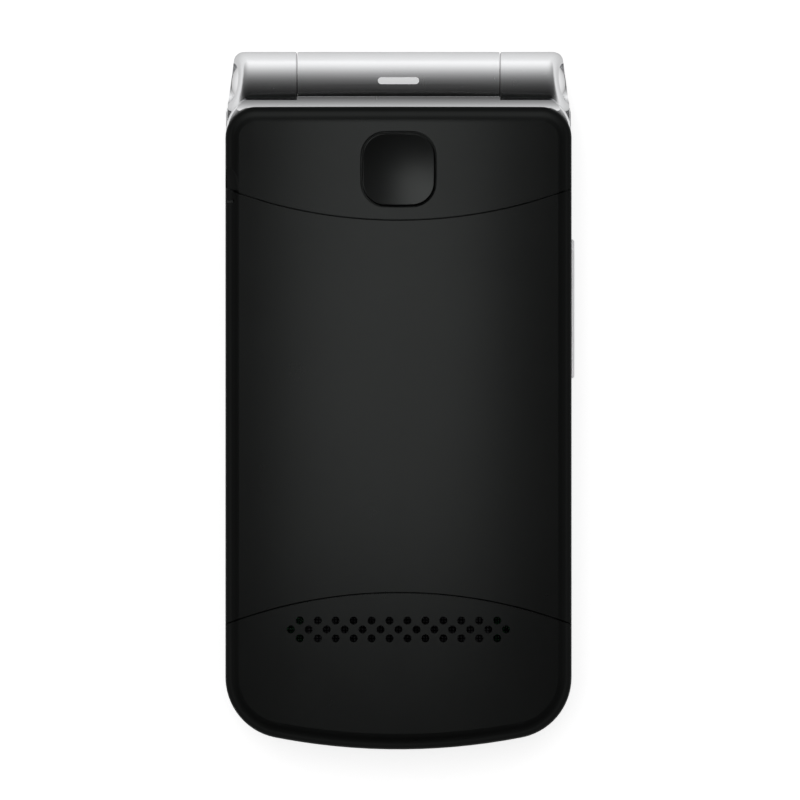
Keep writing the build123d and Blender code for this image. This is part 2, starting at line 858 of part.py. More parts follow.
def ok_key():
    cap = post(ok_radius, 0, nav_y, base_floor + key_sink, key_top)
    cap = fillet(cap.faces().sort_by(Axis.Z)[0].edges(), key_edge)
    return cap + post(ok_radius + ok_lip, 0, nav_y, flange_floor, key_top)


# ---- Lid half ----
def lid_outline(inset=0.0):
    return outline(half_width, axis_y - lid_setback, lid_corner, inset)


def lid_cavity(inset):
    return outline(half_width, cavity_end + inset, lid_corner + inset, inset)


def bumper_places():
    """Rubber pads at the corners of the lid's inner face, each over a screw."""
    rows = (free_end + bumper_end_rise, cavity_end - bumper_inset)
    return [(side * (half_width - bumper_inset), y) for side in (-1, 1) for y in rows]


def lid_seat(solid):
    """Hollow a lid piece for its knuckles and clear it of the base's barrel."""
    solid -= rod(scoop_radius, -knuckle_start, knuckle_start)
    blank = knuckle_blank()
    return solid - blank - mirror(blank, Plane.YZ)


def plan_about(size, y, corner, gap):
    """A round-cornered rectangle on the centre line, let out all round by a gap."""
    across, along = size
    return Pos(0, y) * RectangleRounded(across + 2 * gap, along + 2 * gap, corner + gap)


def window_plan(gap):
    return plan_about((window_width, window_length), window_centre, window_corner, gap)


def outer_window_plan(gap):
    size = (outer_window_width, outer_window_length)
    return plan_about(size, outer_window_centre, window_corner, gap)


def lid_shell():
    """Outer shell of the lid: the face that the closed phone lies on."""
    shell = prism(lid_outline(), 0, lid_frame_floor)
    shell = fillet(shell.faces().sort_by(Axis.Z)[0].edges(), lid_round)
    shell -= prism(lid_cavity(lid_wall), lid_floor, lid_frame_floor)
    for x, y in bumper_places():
        shell += post(boss_radius, x, y, lid_floor, lid_frame_floor)
        shell -= post(screw_radius, x, y, 2 * lid_floor, lid_frame_floor)
    for x, y in pillar_places():
        shell += post(boss_radius, x, y, lid_floor, lid_board_floor)
    shell -= prism(outer_window_plan(0), 0, outer_window_roof)
    shell -= prism(outer_window_plan(-lid_wall), 0, lid_floor)
    shell -= post(camera_ring_radius, 0, camera_centre, 0, window_sink + camera_ring_thick)
    shell -= post(camera_radius + fit, 0, camera_centre, 0, lid_floor)
    return lid_seat(shell)


def pillar_places():
    x = lid_board_width / 2 - boss_radius
    y = lid_board_length / 2 - boss_radius
    return [(sx * x, sy * y) for sx in (-1, 1) for sy in (-1, 1)]


def lid_frame():
    """Silver band round the lid; its hinge end carries the knuckles."""
    band = prism(lid_outline(frame_step), lid_frame_floor, lid_thickness)
    band = fillet(band.faces().sort_by(Axis.Z)[-1].edges(), running_gap)
    band -= prism(lid_cavity(lid_wall), lid_frame_floor, lid_thickness)
    band -= prism(lid_cavity(bezel_inset), bezel_floor, lid_thickness)
    return lid_seat(band)


def lid_bezel():
    """Inner face of the lid, rebated for the main window."""
    bezel = prism(lid_cavity(bezel_inset), bezel_floor, lid_thickness)
    bezel -= prism(window_plan(0), window_floor, lid_thickness)
    bezel -= prism(window_plan(-window_ledge), bezel_floor, lid_thickness)
    slot = Pos(0, free_end + earpiece_rise) * SlotOverall(earpiece_width, earpiece_length)
    bezel -= prism(slot, bezel_floor, lid_thickness)
    for x, y in bumper_places():
        bezel -= post(bumper_radius, x, y, lid_thickness - running_gap, lid_thickness)
        bezel += post(boss_radius, x, y, lid_frame_floor, bezel_floor)
        bezel -= post(screw_radius + fit, x, y, lid_frame_floor, lid_thickness)
        bezel -= post(screw_head_radius, x, y, lid_thickness - running_gap - screw_head, lid_thickness)
    return bezel


def lid_screw(x, y):
    high = lid_thickness - running_gap
    head = post(screw_head_radius, x, y, high - screw_head, high)
    return head + post(screw_radius, x, y, 2 * lid_floor + fit, high - screw_head)


def lid_bumper(x, y):
    low = lid_thickness - running_gap
    pad = post(bumper_radius, x, y, low, low + bumper_height)
    return fillet(pad.faces().sort_by(Axis.Z)[-1].edges(), fit)


def main_window():
    return prism(window_plan(-fit), window_floor, window_floor + window_thick)


def main_display():
    return prism(window_plan(-window_ledge - fit), display_floor, window_floor)


def outer_window():
    return prism(outer_window_plan(-fit), window_sink, outer_window_roof)


def outer_display():
    plan = outer_window_plan(-lid_wall - fit)
    return prism(plan, outer_window_roof, outer_window_roof + outer_display_thick)


def camera_module():
    """Camera from just behind its ring up to the lid's board, dished round its lens."""
    face = 2 * window_sink
    barrel = post(camera_radius, 0, camera_centre, face, lid_board_floor)
    return barrel - post(camera_radius / 2, 0, camera_centre, face, face + running_gap)


def camera_ring():
    low = window_sink / 2
    ring = post(camera_ring_radius - fit, 0, camera_centre, low, window_sink + camera_ring_thick)
    ring = fillet(ring.faces().sort_by(Axis.Z)[0].edges(), running_gap)
    return ring - post(camera_radius + fit, 0, camera_centre, 0, lid_thickness)


def earpiece():
    """Sound capsule behind the slot at the lid's free end."""
    across = earpiece_width + 2 * earpiece_margin
    plan = RectangleRounded(across, 3 * earpiece_length, earpiece_length)
    return prism(Pos(0, free_end + earpiece_rise) * plan, bezel_floor - earpiece_depth, bezel_floor)


def lid_board():
    size = Rectangle(lid_board_width, lid_board_length)
    return prism(size, lid_board_floor, lid_board_top)


# ---- Write every sub-part ----
os.makedirs("parts", exist_ok=True)

knuckle = right_knuckle()
cap = end_cap()
save("lid_outer_shell", lid_shell())
save("lid_frame", lid_frame())
save("lid_inner_bezel", lid_bezel())
save("knuckle_right", knuckle - rod(pin_radius, 0, shaft_end))
save("knuckle_left", mirror(knuckle, Plane.YZ) - hinge_shaft())
save("hinge_end_caps", cap, mirror(cap, Plane.YZ))
save("hinge_shaft", hinge_shaft())
save("hinge_pin", hinge_pin())
save("main_window", main_window())
save("main_display", main_display())
save("outer_window", outer_window())
save("outer_display", outer_display())
save("camera_module", camera_module())
save("camera_ring", camera_ring())
save("earpiece", earpiece())
save("lid_circuit_board", lid_board())
save("lid_bumpers", *[lid_bumper(*place) for place in bumper_places()])
save("lid_screws", *[lid_screw(*place) for place in bumper_places()])

save("base_rear_housing", rear_housing())
save("base_frame", base_frame())
save("base_front_housing", front_housing())
save("barrel_shell", barrel_shell())
save("torch_lens", torch_lens())
save("torch_led", torch_led())
save("hinge_spring_module", spring_module())
save("hinge_flex", hinge_flex())
save("main_circuit_board", main_board())
save("shield_can", shield_can())
save("key_domes", *[dome(*place) for place in dome_places()])
save("tact_switches", *tact_switches())
save("loudspeaker", loudspeaker())
save("speaker_mesh", speaker_mesh())
save("vibration_motor", vibration_motor())
save("microphone", microphone())
save("usb_socket", usb_socket())
save("battery", battery_block())
save("battery_contacts", battery_contacts())
save("sim_socket", sim_socket())
save("base_screws", *[base_screw(*place) for place in base_screw_places()])

save("battery_cover", battery_cover())
save("assist_button", assist_button())
save("volume_rocker", volume_rocker())
save("ok_key", ok_key())
for name, face, _, lip in keys():
    save(name, ring_key(face, lip) if name == "nav_ring" else pressed_key(face, lip))
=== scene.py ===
"""Finishes, small parts and studio of a flip phone, closed and lying on its lid."""

import json
import math

import bmesh
import bpy
from bpy.props import FloatProperty, FloatVectorProperty, IntProperty, PointerProperty
from mathutils import Matrix, Vector

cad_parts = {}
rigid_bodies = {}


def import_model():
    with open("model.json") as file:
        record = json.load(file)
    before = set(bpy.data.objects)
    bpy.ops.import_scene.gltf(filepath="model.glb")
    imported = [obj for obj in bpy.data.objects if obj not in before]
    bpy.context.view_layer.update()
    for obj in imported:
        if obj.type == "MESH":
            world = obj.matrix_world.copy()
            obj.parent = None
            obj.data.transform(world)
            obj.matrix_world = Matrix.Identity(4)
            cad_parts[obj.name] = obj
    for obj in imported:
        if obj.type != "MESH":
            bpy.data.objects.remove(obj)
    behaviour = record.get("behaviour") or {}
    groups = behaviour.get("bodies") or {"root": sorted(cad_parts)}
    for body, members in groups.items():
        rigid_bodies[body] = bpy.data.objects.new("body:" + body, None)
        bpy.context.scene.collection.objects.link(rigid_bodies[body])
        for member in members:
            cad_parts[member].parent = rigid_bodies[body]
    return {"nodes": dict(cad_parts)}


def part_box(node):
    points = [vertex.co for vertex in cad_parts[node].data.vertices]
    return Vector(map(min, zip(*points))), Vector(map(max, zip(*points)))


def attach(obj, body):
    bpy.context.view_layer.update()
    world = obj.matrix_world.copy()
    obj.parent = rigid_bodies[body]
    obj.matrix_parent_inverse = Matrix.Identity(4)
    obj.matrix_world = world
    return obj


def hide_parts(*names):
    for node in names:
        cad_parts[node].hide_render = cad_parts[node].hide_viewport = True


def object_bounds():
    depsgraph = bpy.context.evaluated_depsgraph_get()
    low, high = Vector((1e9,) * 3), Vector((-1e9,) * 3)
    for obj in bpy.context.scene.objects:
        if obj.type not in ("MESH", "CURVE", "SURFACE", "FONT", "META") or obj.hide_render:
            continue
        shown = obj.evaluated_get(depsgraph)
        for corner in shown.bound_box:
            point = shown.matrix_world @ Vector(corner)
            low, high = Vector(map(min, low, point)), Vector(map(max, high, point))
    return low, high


bl_info = {
    "name": "Flip phone finishes",
    "version": (1, 0, 0),
    "blender": (4, 5, 0),
    "location": "3D View > Sidebar > Phone",
    "description": "Dresses the phone's parts, adds its small parts and lights it",
    "category": "Object",
}

startup_objects = list(bpy.data.objects)
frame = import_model()
cad_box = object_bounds()

MM = 0.001
HALF_TURN = Matrix.Rotation(math.pi, 4, "Y")   # from facing up to facing down, hinge still ahead

NUMBER_KEYS = {
    "key_1": "1", "key_2": "2", "key_3": "3", "key_4": "4", "key_5": "5", "key_6": "6",
    "key_7": "7", "key_8": "8", "key_9": "9", "key_star": "*", "key_0": "0", "key_hash": "#",
}
SIDE_KEYS = ("soft_key_left", "soft_key_right", "call_key", "end_key")
BLACK_SHELLS = ("base_rear_housing", "battery_cover", "assist_button", "lid_outer_shell")
SILVER_PARTS = ("base_frame", "lid_frame", "barrel_shell", "knuckle_left", "knuckle_right")
BRIGHT_PARTS = ("hinge_end_caps", "camera_ring")
GLOSSY_FACES = ("base_front_housing", "lid_inner_bezel")
TURNED_STEEL = ("hinge_shaft", "hinge_pin", "hinge_spring_module", "lid_screws", "vibration_motor")
STAMPED_STEEL = ("shield_can", "key_domes", "usb_socket", "sim_socket", "microphone")
DARK_MOULDINGS = ("earpiece", "tact_switches", "loudspeaker", "battery_contacts")
CIRCUIT_BOARDS = ("main_circuit_board", "lid_circuit_board")
DISPLAYS = ("main_display", "outer_display")
WINDOWS = ("main_window", "outer_window")


# ---- Sizes and colours that a user would change ----
def colour_setting(name, about, default):
    return FloatVectorProperty(name=name, description=about, default=default,
                               subtype="COLOR", size=3, min=0.0, max=1.0)


def share_setting(name, about, default, high=1.0):
    return FloatProperty(name=name, description=about, default=default, min=0.0, max=high)


def length_setting(name, about, default, low, high):
    return FloatProperty(name=name, description=about, default=default,
                         unit="LENGTH", min=low, max=high)


class PhoneFinish(bpy.types.PropertyGroup):
    """Colours and surface values of the phone."""

    shell_tone: colour_setting("Shell", "Colour of the satin black shells", (0.0244, 0.0256, 0.025))
    shell_roughness: share_setting("Shell roughness", "How dull the satin black shells are", 0.28)
    silver_tone: colour_setting("Silver", "Colour of the frames and barrel", (0.83, 0.835, 0.845))
    silver_roughness: share_setting("Silver roughness", "How dull the frames and barrel are", 0.24)
    chrome_tone: colour_setting("Chrome", "Colour of the caps, rocker and lens ring", (0.9, 0.9, 0.91))
    key_tone: colour_setting("Keys", "Colour of the key caps", (0.03, 0.031, 0.034))
    mark_tone: colour_setting("Key marks", "Colour of the digits on the keys", (0.82, 0.83, 0.84))


class PhoneDetail(bpy.types.PropertyGroup):
    """Sizes of the small parts and printed marks."""

    digit_size: length_setting(
        "Digit size", "Type size of the digits on the keys", 5.6 * MM, 1 * MM, 9 * MM)
    print_height: length_setting(
        "Print height", "How far printed marks stand proud of a key", 0.02 * MM, 0.005 * MM, 0.1 * MM)
    wire_pitch: length_setting(
        "Wire pitch", "Distance between wires of the loudspeaker's screen", 0.4 * MM, 0.2 * MM, 1.5 * MM)
    wire_radius: length_setting(
        "Wire radius", "Half the thickness of a wire of the screen", 0.07 * MM, 0.02 * MM, 0.2 * MM)
    contact_count: IntProperty(name="Socket contacts", description="Contacts in the charging socket",
                               min=1, max=9, default=5)


class PhoneStudio(bpy.types.PropertyGroup):
    """Camera and light round the phone; the levels are shares of what a plain white needs."""

    view_width: length_setting(
        "View width", "Width seen at the height of the silver frame", 120.23 * MM, 50 * MM, 1.0)
    view_offset: length_setting(
        "View offset", "How far right of the middle the camera stands", 0.225 * MM, -50 * MM, 50 * MM)
    lens: FloatProperty(name="Lens", description="Focal length in millimetres",
                        min=20.0, max=1000.0, default=600.0)
    fill_level: share_setting("Fill level", "Light of the overhead fill", 0.6, 2.0)
    sheen_level: share_setting("Sheen level", "Light of the softboxes over the black back", 0.21, 2.0)
    key_level: share_setting("Side key level", "Light of the lamp beside the rocker", 0.07, 2.0)
    floor_lift: share_setting("Floor lift", "White added to the floor where it is seen", 0.74)


# ---- Node groups ----
def node_group(name, kind, inputs, outputs):
    """A group with named sockets (name, kind and, if set, default), and its two end nodes."""
    tree = bpy.data.node_groups.new(name, kind)
    for side, sockets in (("INPUT", inputs), ("OUTPUT", outputs)):
        for label, holds, *default in sockets:
            socket = tree.interface.new_socket(label, in_out=side, socket_type="NodeSocket" + holds)
            if default:
                socket.default_value = default[0]
    return tree, *new_nodes(tree, "NodeGroup", "Input", "Output")


def new_nodes(tree, family, *kinds):
    """New nodes of one family, such as ShaderNode, one for each kind."""
    return [tree.nodes.new(family + kind) for kind in kinds]


def feed(tree, socket, value):
    """Give a socket a number or another node's output."""
    if isinstance(value, bpy.types.NodeSocket):
        tree.links.new(value, socket)
    else:
        socket.default_value = value


def math_node(tree, operation, *values):
    """A Math node whose inputs are numbers or other nodes' outputs; gives its output."""
    node = tree.nodes.new("ShaderNodeMath")
    node.operation = operation
    for socket, value in zip(node.inputs, values):
        feed(tree, socket, value)
    return node.outputs[0]


def noise_over(tree, scale, stretch=(1.0, 1.0, 1.0), detail=3.0):
    """Noise over the piece's own coordinates; scale is a number or an output."""
    place, mapping, noise = new_nodes(tree, "ShaderNode", "TexCoord", "Mapping", "TexNoise")
    mapping.inputs["Scale"].default_value = stretch
    noise.inputs["Detail"].default_value = detail
    tree.links.new(place.outputs["Object"], mapping.inputs["Vector"])
    tree.links.new(mapping.outputs["Vector"], noise.inputs["Vector"])
    feed(tree, noise.inputs["Scale"], scale)
    return noise.outputs["Fac"]


# ---- Shader groups that several materials share ----
def tone_group(name):
    """Colour that drifts a little lighter and darker over the surface."""
    grey = (0.5, 0.5, 0.5, 1.0)
    inputs = (("Tone", "Color", grey), ("Drift", "Float", 0.1), ("Patch size", "Float", 12 * MM))
    tree, given, out = node_group(name, "ShaderNodeTree", inputs, (("Color", "Color"),))
    scale = math_node(tree, "DIVIDE", 1.0, given.outputs["Patch size"])
    drift = math_node(tree, "MULTIPLY", math_node(tree, "SUBTRACT", noise_over(tree, scale), 0.5),
                      given.outputs["Drift"])
    gain = math_node(tree, "ADD", math_node(tree, "MULTIPLY", drift, 2.0), 1.0)
    mix = tree.nodes.new("ShaderNodeVectorMath")
    mix.operation = "SCALE"
    tree.links.new(given.outputs["Tone"], mix.inputs[0])
    tree.links.new(gain, mix.inputs["Scale"])
    tree.links.new(mix.outputs["Vector"], out.inputs["Color"])
    return tree


def handling_group(name):
    """Roughness of a handled surface: a base value, soft smudges and hairline scratches."""
    smudges_per_metre, lines_per_metre, slender = 160.0, 90.0, 40.0
    threshold, sharpness = 0.66, 6.0
    inputs = (("Roughness", "Float", 0.4), ("Smudge", "Float", 0.06), ("Scratch", "Float", 0.08))
    tree, given, out = node_group(name, "ShaderNodeTree", inputs, (("Roughness", "Float"),))
    smudge = math_node(tree, "SUBTRACT", noise_over(tree, smudges_per_metre), 0.5)
    smudge = math_node(tree, "MULTIPLY", smudge, given.outputs["Smudge"])
    total = math_node(tree, "ADD", given.outputs["Roughness"], smudge)
    for stretch in ((1.0, slender, 1.0), (slender, 1.0, slender)):
        line = noise_over(tree, lines_per_metre, stretch, 1.0)
        line = math_node(tree, "MULTIPLY", math_node(tree, "SUBTRACT", line, threshold), sharpness)
        line = math_node(tree, "MINIMUM", math_node(tree, "MAXIMUM", line, 0.0), 1.0)
        line = math_node(tree, "MULTIPLY", line, given.outputs["Scratch"])
        total = math_node(tree, "ADD", total, line)
    tree.links.new(math_node(tree, "MINIMUM", total, 1.0), out.inputs["Roughness"])
    return tree


def relief_group(name):
    """Height of a fine even grain, or of fine parallel lines along the phone's width."""
    stretch, detail = RELIEF_NOISE[name]
    inputs = (("Size", "Float", 0.1 * MM),)
    tree, given, out = node_group(name, "ShaderNodeTree", inputs, (("Height", "Float"),))
    scale = math_node(tree, "DIVIDE", 1.0, given.outputs["Size"])
    tree.links.new(noise_over(tree, scale, stretch, detail), out.inputs["Height"])
    return tree


# How the noise behind each relief is stretched, and its detail.
RELIEF_NOISE = {"fine_grain": ((1.0, 1.0, 1.0), 1.5), "brushed_lines": ((0.02, 1.0, 1.0), 2.0)}
GROUP_MAKERS = {
    "tone_drift": tone_group, "handling_marks": handling_group,
    "fine_grain": relief_group, "brushed_lines": relief_group,
}


def place_group(tree, name, **values):
    """A node of a shared group, made the first time that it is needed."""
    group = bpy.data.node_groups.get(name) or GROUP_MAKERS[name](name)
    node = tree.nodes.new("ShaderNodeGroup")
    node.node_tree = group
    for label, value in values.items():
        node.inputs[label.replace("_", " ").capitalize()].default_value = value
    return node


# ---- Materials ----
def grey_ramp(tree, source, stops):
    """Grey ramp through (position, value) stops."""
    node = tree.nodes.new("ShaderNodeValToRGB")
    elements = node.color_ramp.elements
    while len(elements) > 1:
        elements.remove(elements[-1])
    for index, (position, value) in enumerate(stops):
        element = elements[0] if index == 0 else elements.new(position)
        element.position = position
        element.color = (value, value, value, 1.0)
    tree.links.new(source, node.inputs["Fac"])
    return node.outputs["Color"]


def emptied(owner):
    """Node tree of a material or world, without its first nodes."""
    owner.use_nodes = True
    owner.node_tree.nodes.clear()
    return owner.node_tree


def plain_shader(name, **constants):
    """A new material with one Principled shader; constants set its own sockets."""
    material = bpy.data.materials.new(name)
    tree = emptied(material)
    shader, output = new_nodes(tree, "ShaderNode", "BsdfPrincipled", "OutputMaterial")
    tree.links.new(shader.outputs["BSDF"], output.inputs["Surface"])
    for label, value in constants.items():
        shader.inputs[label.replace("_", " ")].default_value = value
    return material, tree, shader


def add_relief(tree, shader, height, depth):
    """Bump from a height that varies over the surface."""
    bump = tree.nodes.new("ShaderNodeBump")
    bump.inputs["Distance"].default_value = depth
    tree.links.new(height, bump.inputs["Height"])
    tree.links.new(bump.outputs["Normal"], shader.inputs["Normal"])


def coat(name, tone, roughness, drift=0.08, smudge=0.06, scratch=0.06, patch=12 * MM, relief=None,
         **constants):
    """Material that varies as on a handled part; relief gives its group, its size and its depth."""
    material, tree, shader = plain_shader(name, **constants)
    colour = place_group(tree, "tone_drift", tone=(*tone, 1.0), drift=drift, patch_size=patch)
    marks = place_group(tree, "handling_marks", roughness=roughness, smudge=smudge, scratch=scratch)
    tree.links.new(colour.outputs["Color"], shader.inputs["Base Color"])
    tree.links.new(marks.outputs["Roughness"], shader.inputs["Roughness"])
    if relief:
        group, size, depth = relief
        add_relief(tree, shader, place_group(tree, group, size=size).outputs["Height"], depth)
    return material


def moulded_plastic(name, tone, roughness, grain=0.12 * MM, depth=0.003 * MM, **surface):
    """Plastic with the fine grain of its mould."""
    return coat(name, tone, roughness, relief=("fine_grain", grain, depth), IOR=1.49, **surface)


def satin_black(name, tone, roughness):
    """Black paint with dark metal flakes, which stays black on its rounded edges; its colour also
    carries painted shade and sheen by view angle.
    """
    material = coat(name, tone, roughness, smudge=0.03, scratch=0.02,
                    relief=("fine_grain", 0.12 * MM, 0.002 * MM),
                    Metallic=0.87, Specular_IOR_Level=0.0, Specular_Tint=(0.5, 0.5, 0.5, 1.0))
    # the colour gets painted shade and a painted sheen by view angle
    paint_edge_shade_and_sheen(material.node_tree)
    return material


def paint_edge_shade_and_sheen(tree):
    """Painted shade and sheen by view angle: the colour is darkest where the surface is seen aslant and
    lighter again at the outline.
    """
    shader = next(node for node in tree.nodes if node.type == "BSDF_PRINCIPLED")
    facing = tree.nodes.new("ShaderNodeLayerWeight")
    # painted shade in the aslant band, painted sheen towards the outline
    stops = ((0.0, 0.8), (0.05, 0.8), (0.12, 1.0), (0.34, 0.35), (0.5, 0.35), (0.7, 0.9))
    painted_edge_light = grey_ramp(tree, facing.outputs["Facing"], stops)
    mix = tree.nodes.new("ShaderNodeVectorMath")
    mix.operation = "MULTIPLY"
    tree.links.new(shader.inputs["Base Color"].links[0].from_socket, mix.inputs[0])
    tree.links.new(painted_edge_light, mix.inputs[1])
    tree.links.new(mix.outputs["Vector"], shader.inputs["Base Color"])


def painted_metal(name, tone, roughness):
    """Silver paint: bright flakes under a clear coat."""
    return coat(name, tone, roughness, drift=0.03, smudge=0.04, scratch=0.04,
                relief=("fine_grain", 0.07 * MM, 0.0012 * MM),
                Metallic=1.0, Coat_Weight=0.25, Coat_Roughness=0.12)


def polished_metal(name, tone, roughness=0.07):
    """Plated metal, with hairline scratches only."""
    return coat(name, tone, roughness, drift=0.02, smudge=0.03, scratch=0.1,
                relief=("fine_grain", 1.5 * MM, 0.002 * MM), Metallic=1.0)


def brushed_metal(name, tone, roughness, spacing=0.08 * MM):
    """Stamped or turned metal with fine parallel lines."""
    return coat(name, tone, roughness, drift=0.1, smudge=0.1, scratch=0.12,
                relief=("brushed_lines", spacing, 0.004 * MM), Metallic=1.0)


def window_glass(name):
    """Clear window with a grey tint."""
    return coat(name, (0.55, 0.57, 0.6), 0.02, drift=0.02, smudge=0.02, scratch=0.05,
                Transmission_Weight=1.0, IOR=1.49)


def frosted_lens(name):
    """White, half clear diffuser of the torch."""
    return coat(name, (0.95, 0.955, 0.96), 0.35, drift=0.02, smudge=0.05, scratch=0.02,
                relief=("fine_grain", 0.2 * MM, 0.004 * MM), Transmission_Weight=0.1, IOR=1.45)


def cell_coat(name, tones, sizes, roughness, smudge, **constants):
    """Smooth coat over rows of cells: two cell tones and the gap's, and gap, width and height."""
    material, tree, shader = plain_shader(name, **constants)
    place, cells = new_nodes(tree, "ShaderNode", "TexCoord", "TexBrick")
    cells.inputs["Scale"].default_value = 1.0
    for label, tone in zip(("Color1", "Color2", "Mortar"), tones):
        cells.inputs[label].default_value = (*tone, 1.0)
    for label, size in zip(("Mortar Size", "Brick Width", "Row Height"), sizes):
        cells.inputs[label].default_value = size
    marks = place_group(tree, "handling_marks", roughness=roughness, smudge=smudge, scratch=0.0)
    tree.links.new(place.outputs["Object"], cells.inputs["Vector"])
    tree.links.new(cells.outputs["Color"], shader.inputs["Base Color"])
    tree.links.new(marks.outputs["Roughness"], shader.inputs["Roughness"])
    return material, tree, shader, cells


def display_panel(name):
    """Unlit display: near black, with a grid of cells just seen close up."""
    tones = ((0.012, 0.014, 0.02), (0.014, 0.016, 0.022), (0.004, 0.004, 0.005))
    sizes = (0.02 * MM, 0.18 * MM, 0.18 * MM)
    material, _, _, cells = cell_coat(name, tones, sizes, 0.16, 0.04, IOR=1.5, Coat_Weight=0.4,
                                      Coat_Roughness=0.05)
    cells.offset = 0.0
    return material


def board_lacquer(name):
    """Green lacquer over raised copper tracks."""
    tones = ((0.012, 0.09, 0.035), (0.018, 0.12, 0.045), (0.03, 0.2, 0.07))
    sizes = (0.1 * MM, 3.2 * MM, 0.8 * MM)
    material, tree, shader, tracks = cell_coat(name, tones, sizes, 0.3, 0.08, IOR=1.5)
    add_relief(tree, shader, tracks.outputs["Fac"], 0.02 * MM)
    return material


def mark_paint(name, tone):
    """Printed ink, a little worn."""
    return moulded_plastic(name, tone, 0.45, 0.08 * MM, 0.002 * MM, drift=0.12, patch=2 * MM)


def dress(names, material):
    """Give CAD parts one material."""
    for name in names:
        part = frame["nodes"][name]
        part.data.materials.clear()
        part.data.materials.append(material)


# ---- Making pieces ----
def linked(name, data):
    """A bare object, linked to the scene."""
    made = bpy.data.objects.new(name, data)
    bpy.context.scene.collection.objects.link(made)
    return made


def new_piece(name, mesh, material, body):
    """Link a mesh as a piece that rides on a body."""
    mesh.materials.clear()
    mesh.materials.append(material)
    piece = linked(name, mesh)
    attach(piece, body)
    return piece


def written(work, mesh=None):
    """A bmesh written into its mesh or a new one, and freed."""
    mesh = mesh or bpy.data.meshes.new("part")
    work.to_mesh(mesh)
    work.free()
    return mesh


def cleaned(mesh, matrix=None):
    """Merge a mesh's doubles, turn its faces outwards and put it in its place."""
    work = bmesh.new()
    work.from_mesh(mesh)
    bmesh.ops.remove_doubles(work, verts=work.verts, dist=0.0005 * MM)
    bmesh.ops.recalc_face_normals(work, faces=work.faces)
    if matrix:
        work.transform(matrix)
    return written(work, mesh)


def mesh_of(source):
    """Plain mesh of an object with its modifiers, or of a curve; the object is removed."""
    bpy.context.view_layer.update()
    graph = bpy.context.evaluated_depsgraph_get()
    mesh = bpy.data.meshes.new_from_object(source.evaluated_get(graph))
    bpy.data.objects.remove(source)
    return mesh


def box_middle(node):
    """Middle of a CAD part's box."""
    low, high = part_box(node)
    return (low + high) / 2


def face_down_at(x, y, z):
    """Place for a mark drawn facing up, so that it lies on a face that looks down."""
    return Matrix.Translation((x, y, z)) @ HALF_TURN


def printed_text(name, words, size, height, place, material, body):
    """Letters as a thin printed layer, centred on their place."""
    curve = bpy.data.curves.new(name, "FONT")
    curve.body = words
    curve.size = size
    curve.extrude = height
    mesh = mesh_of(linked(name, curve))
    across, along = ([vertex.co[axis] for vertex in mesh.vertices] for axis in (0, 1))
    back = [-(min(values) + max(values)) / 2 for values in (across, along)]
    cleaned(mesh, place @ Matrix.Translation((*back, 0)))
    return new_piece(name, mesh, material, body)


def printed_shape(name, outlines, height, place, material, body):
    """Closed outlines as a thin printed layer."""
    curve = bpy.data.curves.new(name, "CURVE")
    curve.dimensions = "2D"
    curve.fill_mode = "BOTH"
    curve.extrude = height
    for outline in outlines:
        spline = curve.splines.new("POLY")
        spline.points.add(len(outline) - 1)
        spline.use_cyclic_u = True
        for point, (x, y) in zip(spline.points, outline):
            point.co = (x, y, 0, 1)
    mesh = mesh_of(linked(name, curve))
    return new_piece(name, cleaned(mesh, place), material, body)


def arc(radius, start, end, count=17):
    """Points along an arc, with its angles in degrees."""
    angles = [math.radians(start + (end - start) * i / (count - 1)) for i in range(count)]
    return [(radius * math.cos(a), radius * math.sin(a)) for a in angles]


def round_bar(length, width):
    """Outline of a bar with round ends."""
    run = (length - width) / 2
    right = [(x + run, y) for x, y in arc(width / 2, -90, 90, 9)]
    left = [(x - run, y) for x, y in arc(width / 2, 90, 270, 9)]
    return right + left


def turned(outline, degrees):
    """An outline turned about its middle."""
    spin = Matrix.Rotation(math.radians(degrees), 2)
    return [tuple(spin @ Vector(point)) for point in outline]


def handset(radius):
    """Outline of a telephone handset, bowed upwards."""
    ear = 0.45 * radius
    grip = 0.68 * radius
    outer = arc(radius, 20, 160)
    inner = arc(grip, 128, 52)
    around = [*outer, *arc(ear, 150, 128, 3), *inner, *arc(ear, 52, 30, 3)]
    return [(x, y - 0.6 * radius) for x, y in around]


def lathe(profile, steps=48):
    """Closed solid of revolution about Z from (radius, height) points on the outside."""
    work = bmesh.new()
    rings = []
    for radius, height in profile:
        if radius == 0:
            rings.append([work.verts.new((0, 0, height))])
            continue
        around = [math.tau * i / steps for i in range(steps)]
        circle = [(radius * math.cos(a), radius * math.sin(a), height) for a in around]
        rings.append([work.verts.new(point) for point in circle])
    for lower, upper in zip(rings, rings[1:]):
        for i in range(steps):
            j = (i + 1) % steps
            below = [lower[k % len(lower)] for k in (i, j)]
            above = [upper[k % len(upper)] for k in (j, i)]
            work.faces.new(list(dict.fromkeys(below + above)))
    for ring, flip in ((rings[0], True), (rings[-1], False)):
        if len(ring) > 1:
            work.faces.new(ring[::-1] if flip else ring)
    bmesh.ops.recalc_face_normals(work, faces=work.faces)
    return written(work)


def smooth(mesh, angle=35.0):
    """Smooth shading with sharp edges past an angle in degrees."""
    mesh.shade_smooth()
    work = bmesh.new()
    work.from_mesh(mesh)
    for edge in work.edges:
        edge.smooth = len(edge.link_faces) == 2 and edge.calc_face_angle() < math.radians(angle)
    return written(work, mesh)


# ---- Geometry Nodes ----
def geometry_tree(name, *inputs):
    """A geometry tree with a material and more inputs, and its input and output nodes."""
    shape = ("Geometry", "Geometry")
    return node_group(name, "GeometryNodeTree", (shape, *inputs, ("Material", "Material")), (shape,))


def chain(tree, *nodes):
    """Link each node's geometry to the next one's first input."""
    for before, after in zip(nodes, nodes[1:]):
        tree.links.new(before.outputs[0], after.inputs[0])


def end_tree(tree, given, out, *nodes):
    """Chain the nodes, then realize the instances and set the material."""
    realize, paint = new_nodes(tree, "GeometryNode", "RealizeInstances", "SetMaterial")
    tree.links.new(given.outputs["Material"], paint.inputs["Material"])
    chain(tree, *nodes, realize, paint, out)
    return tree


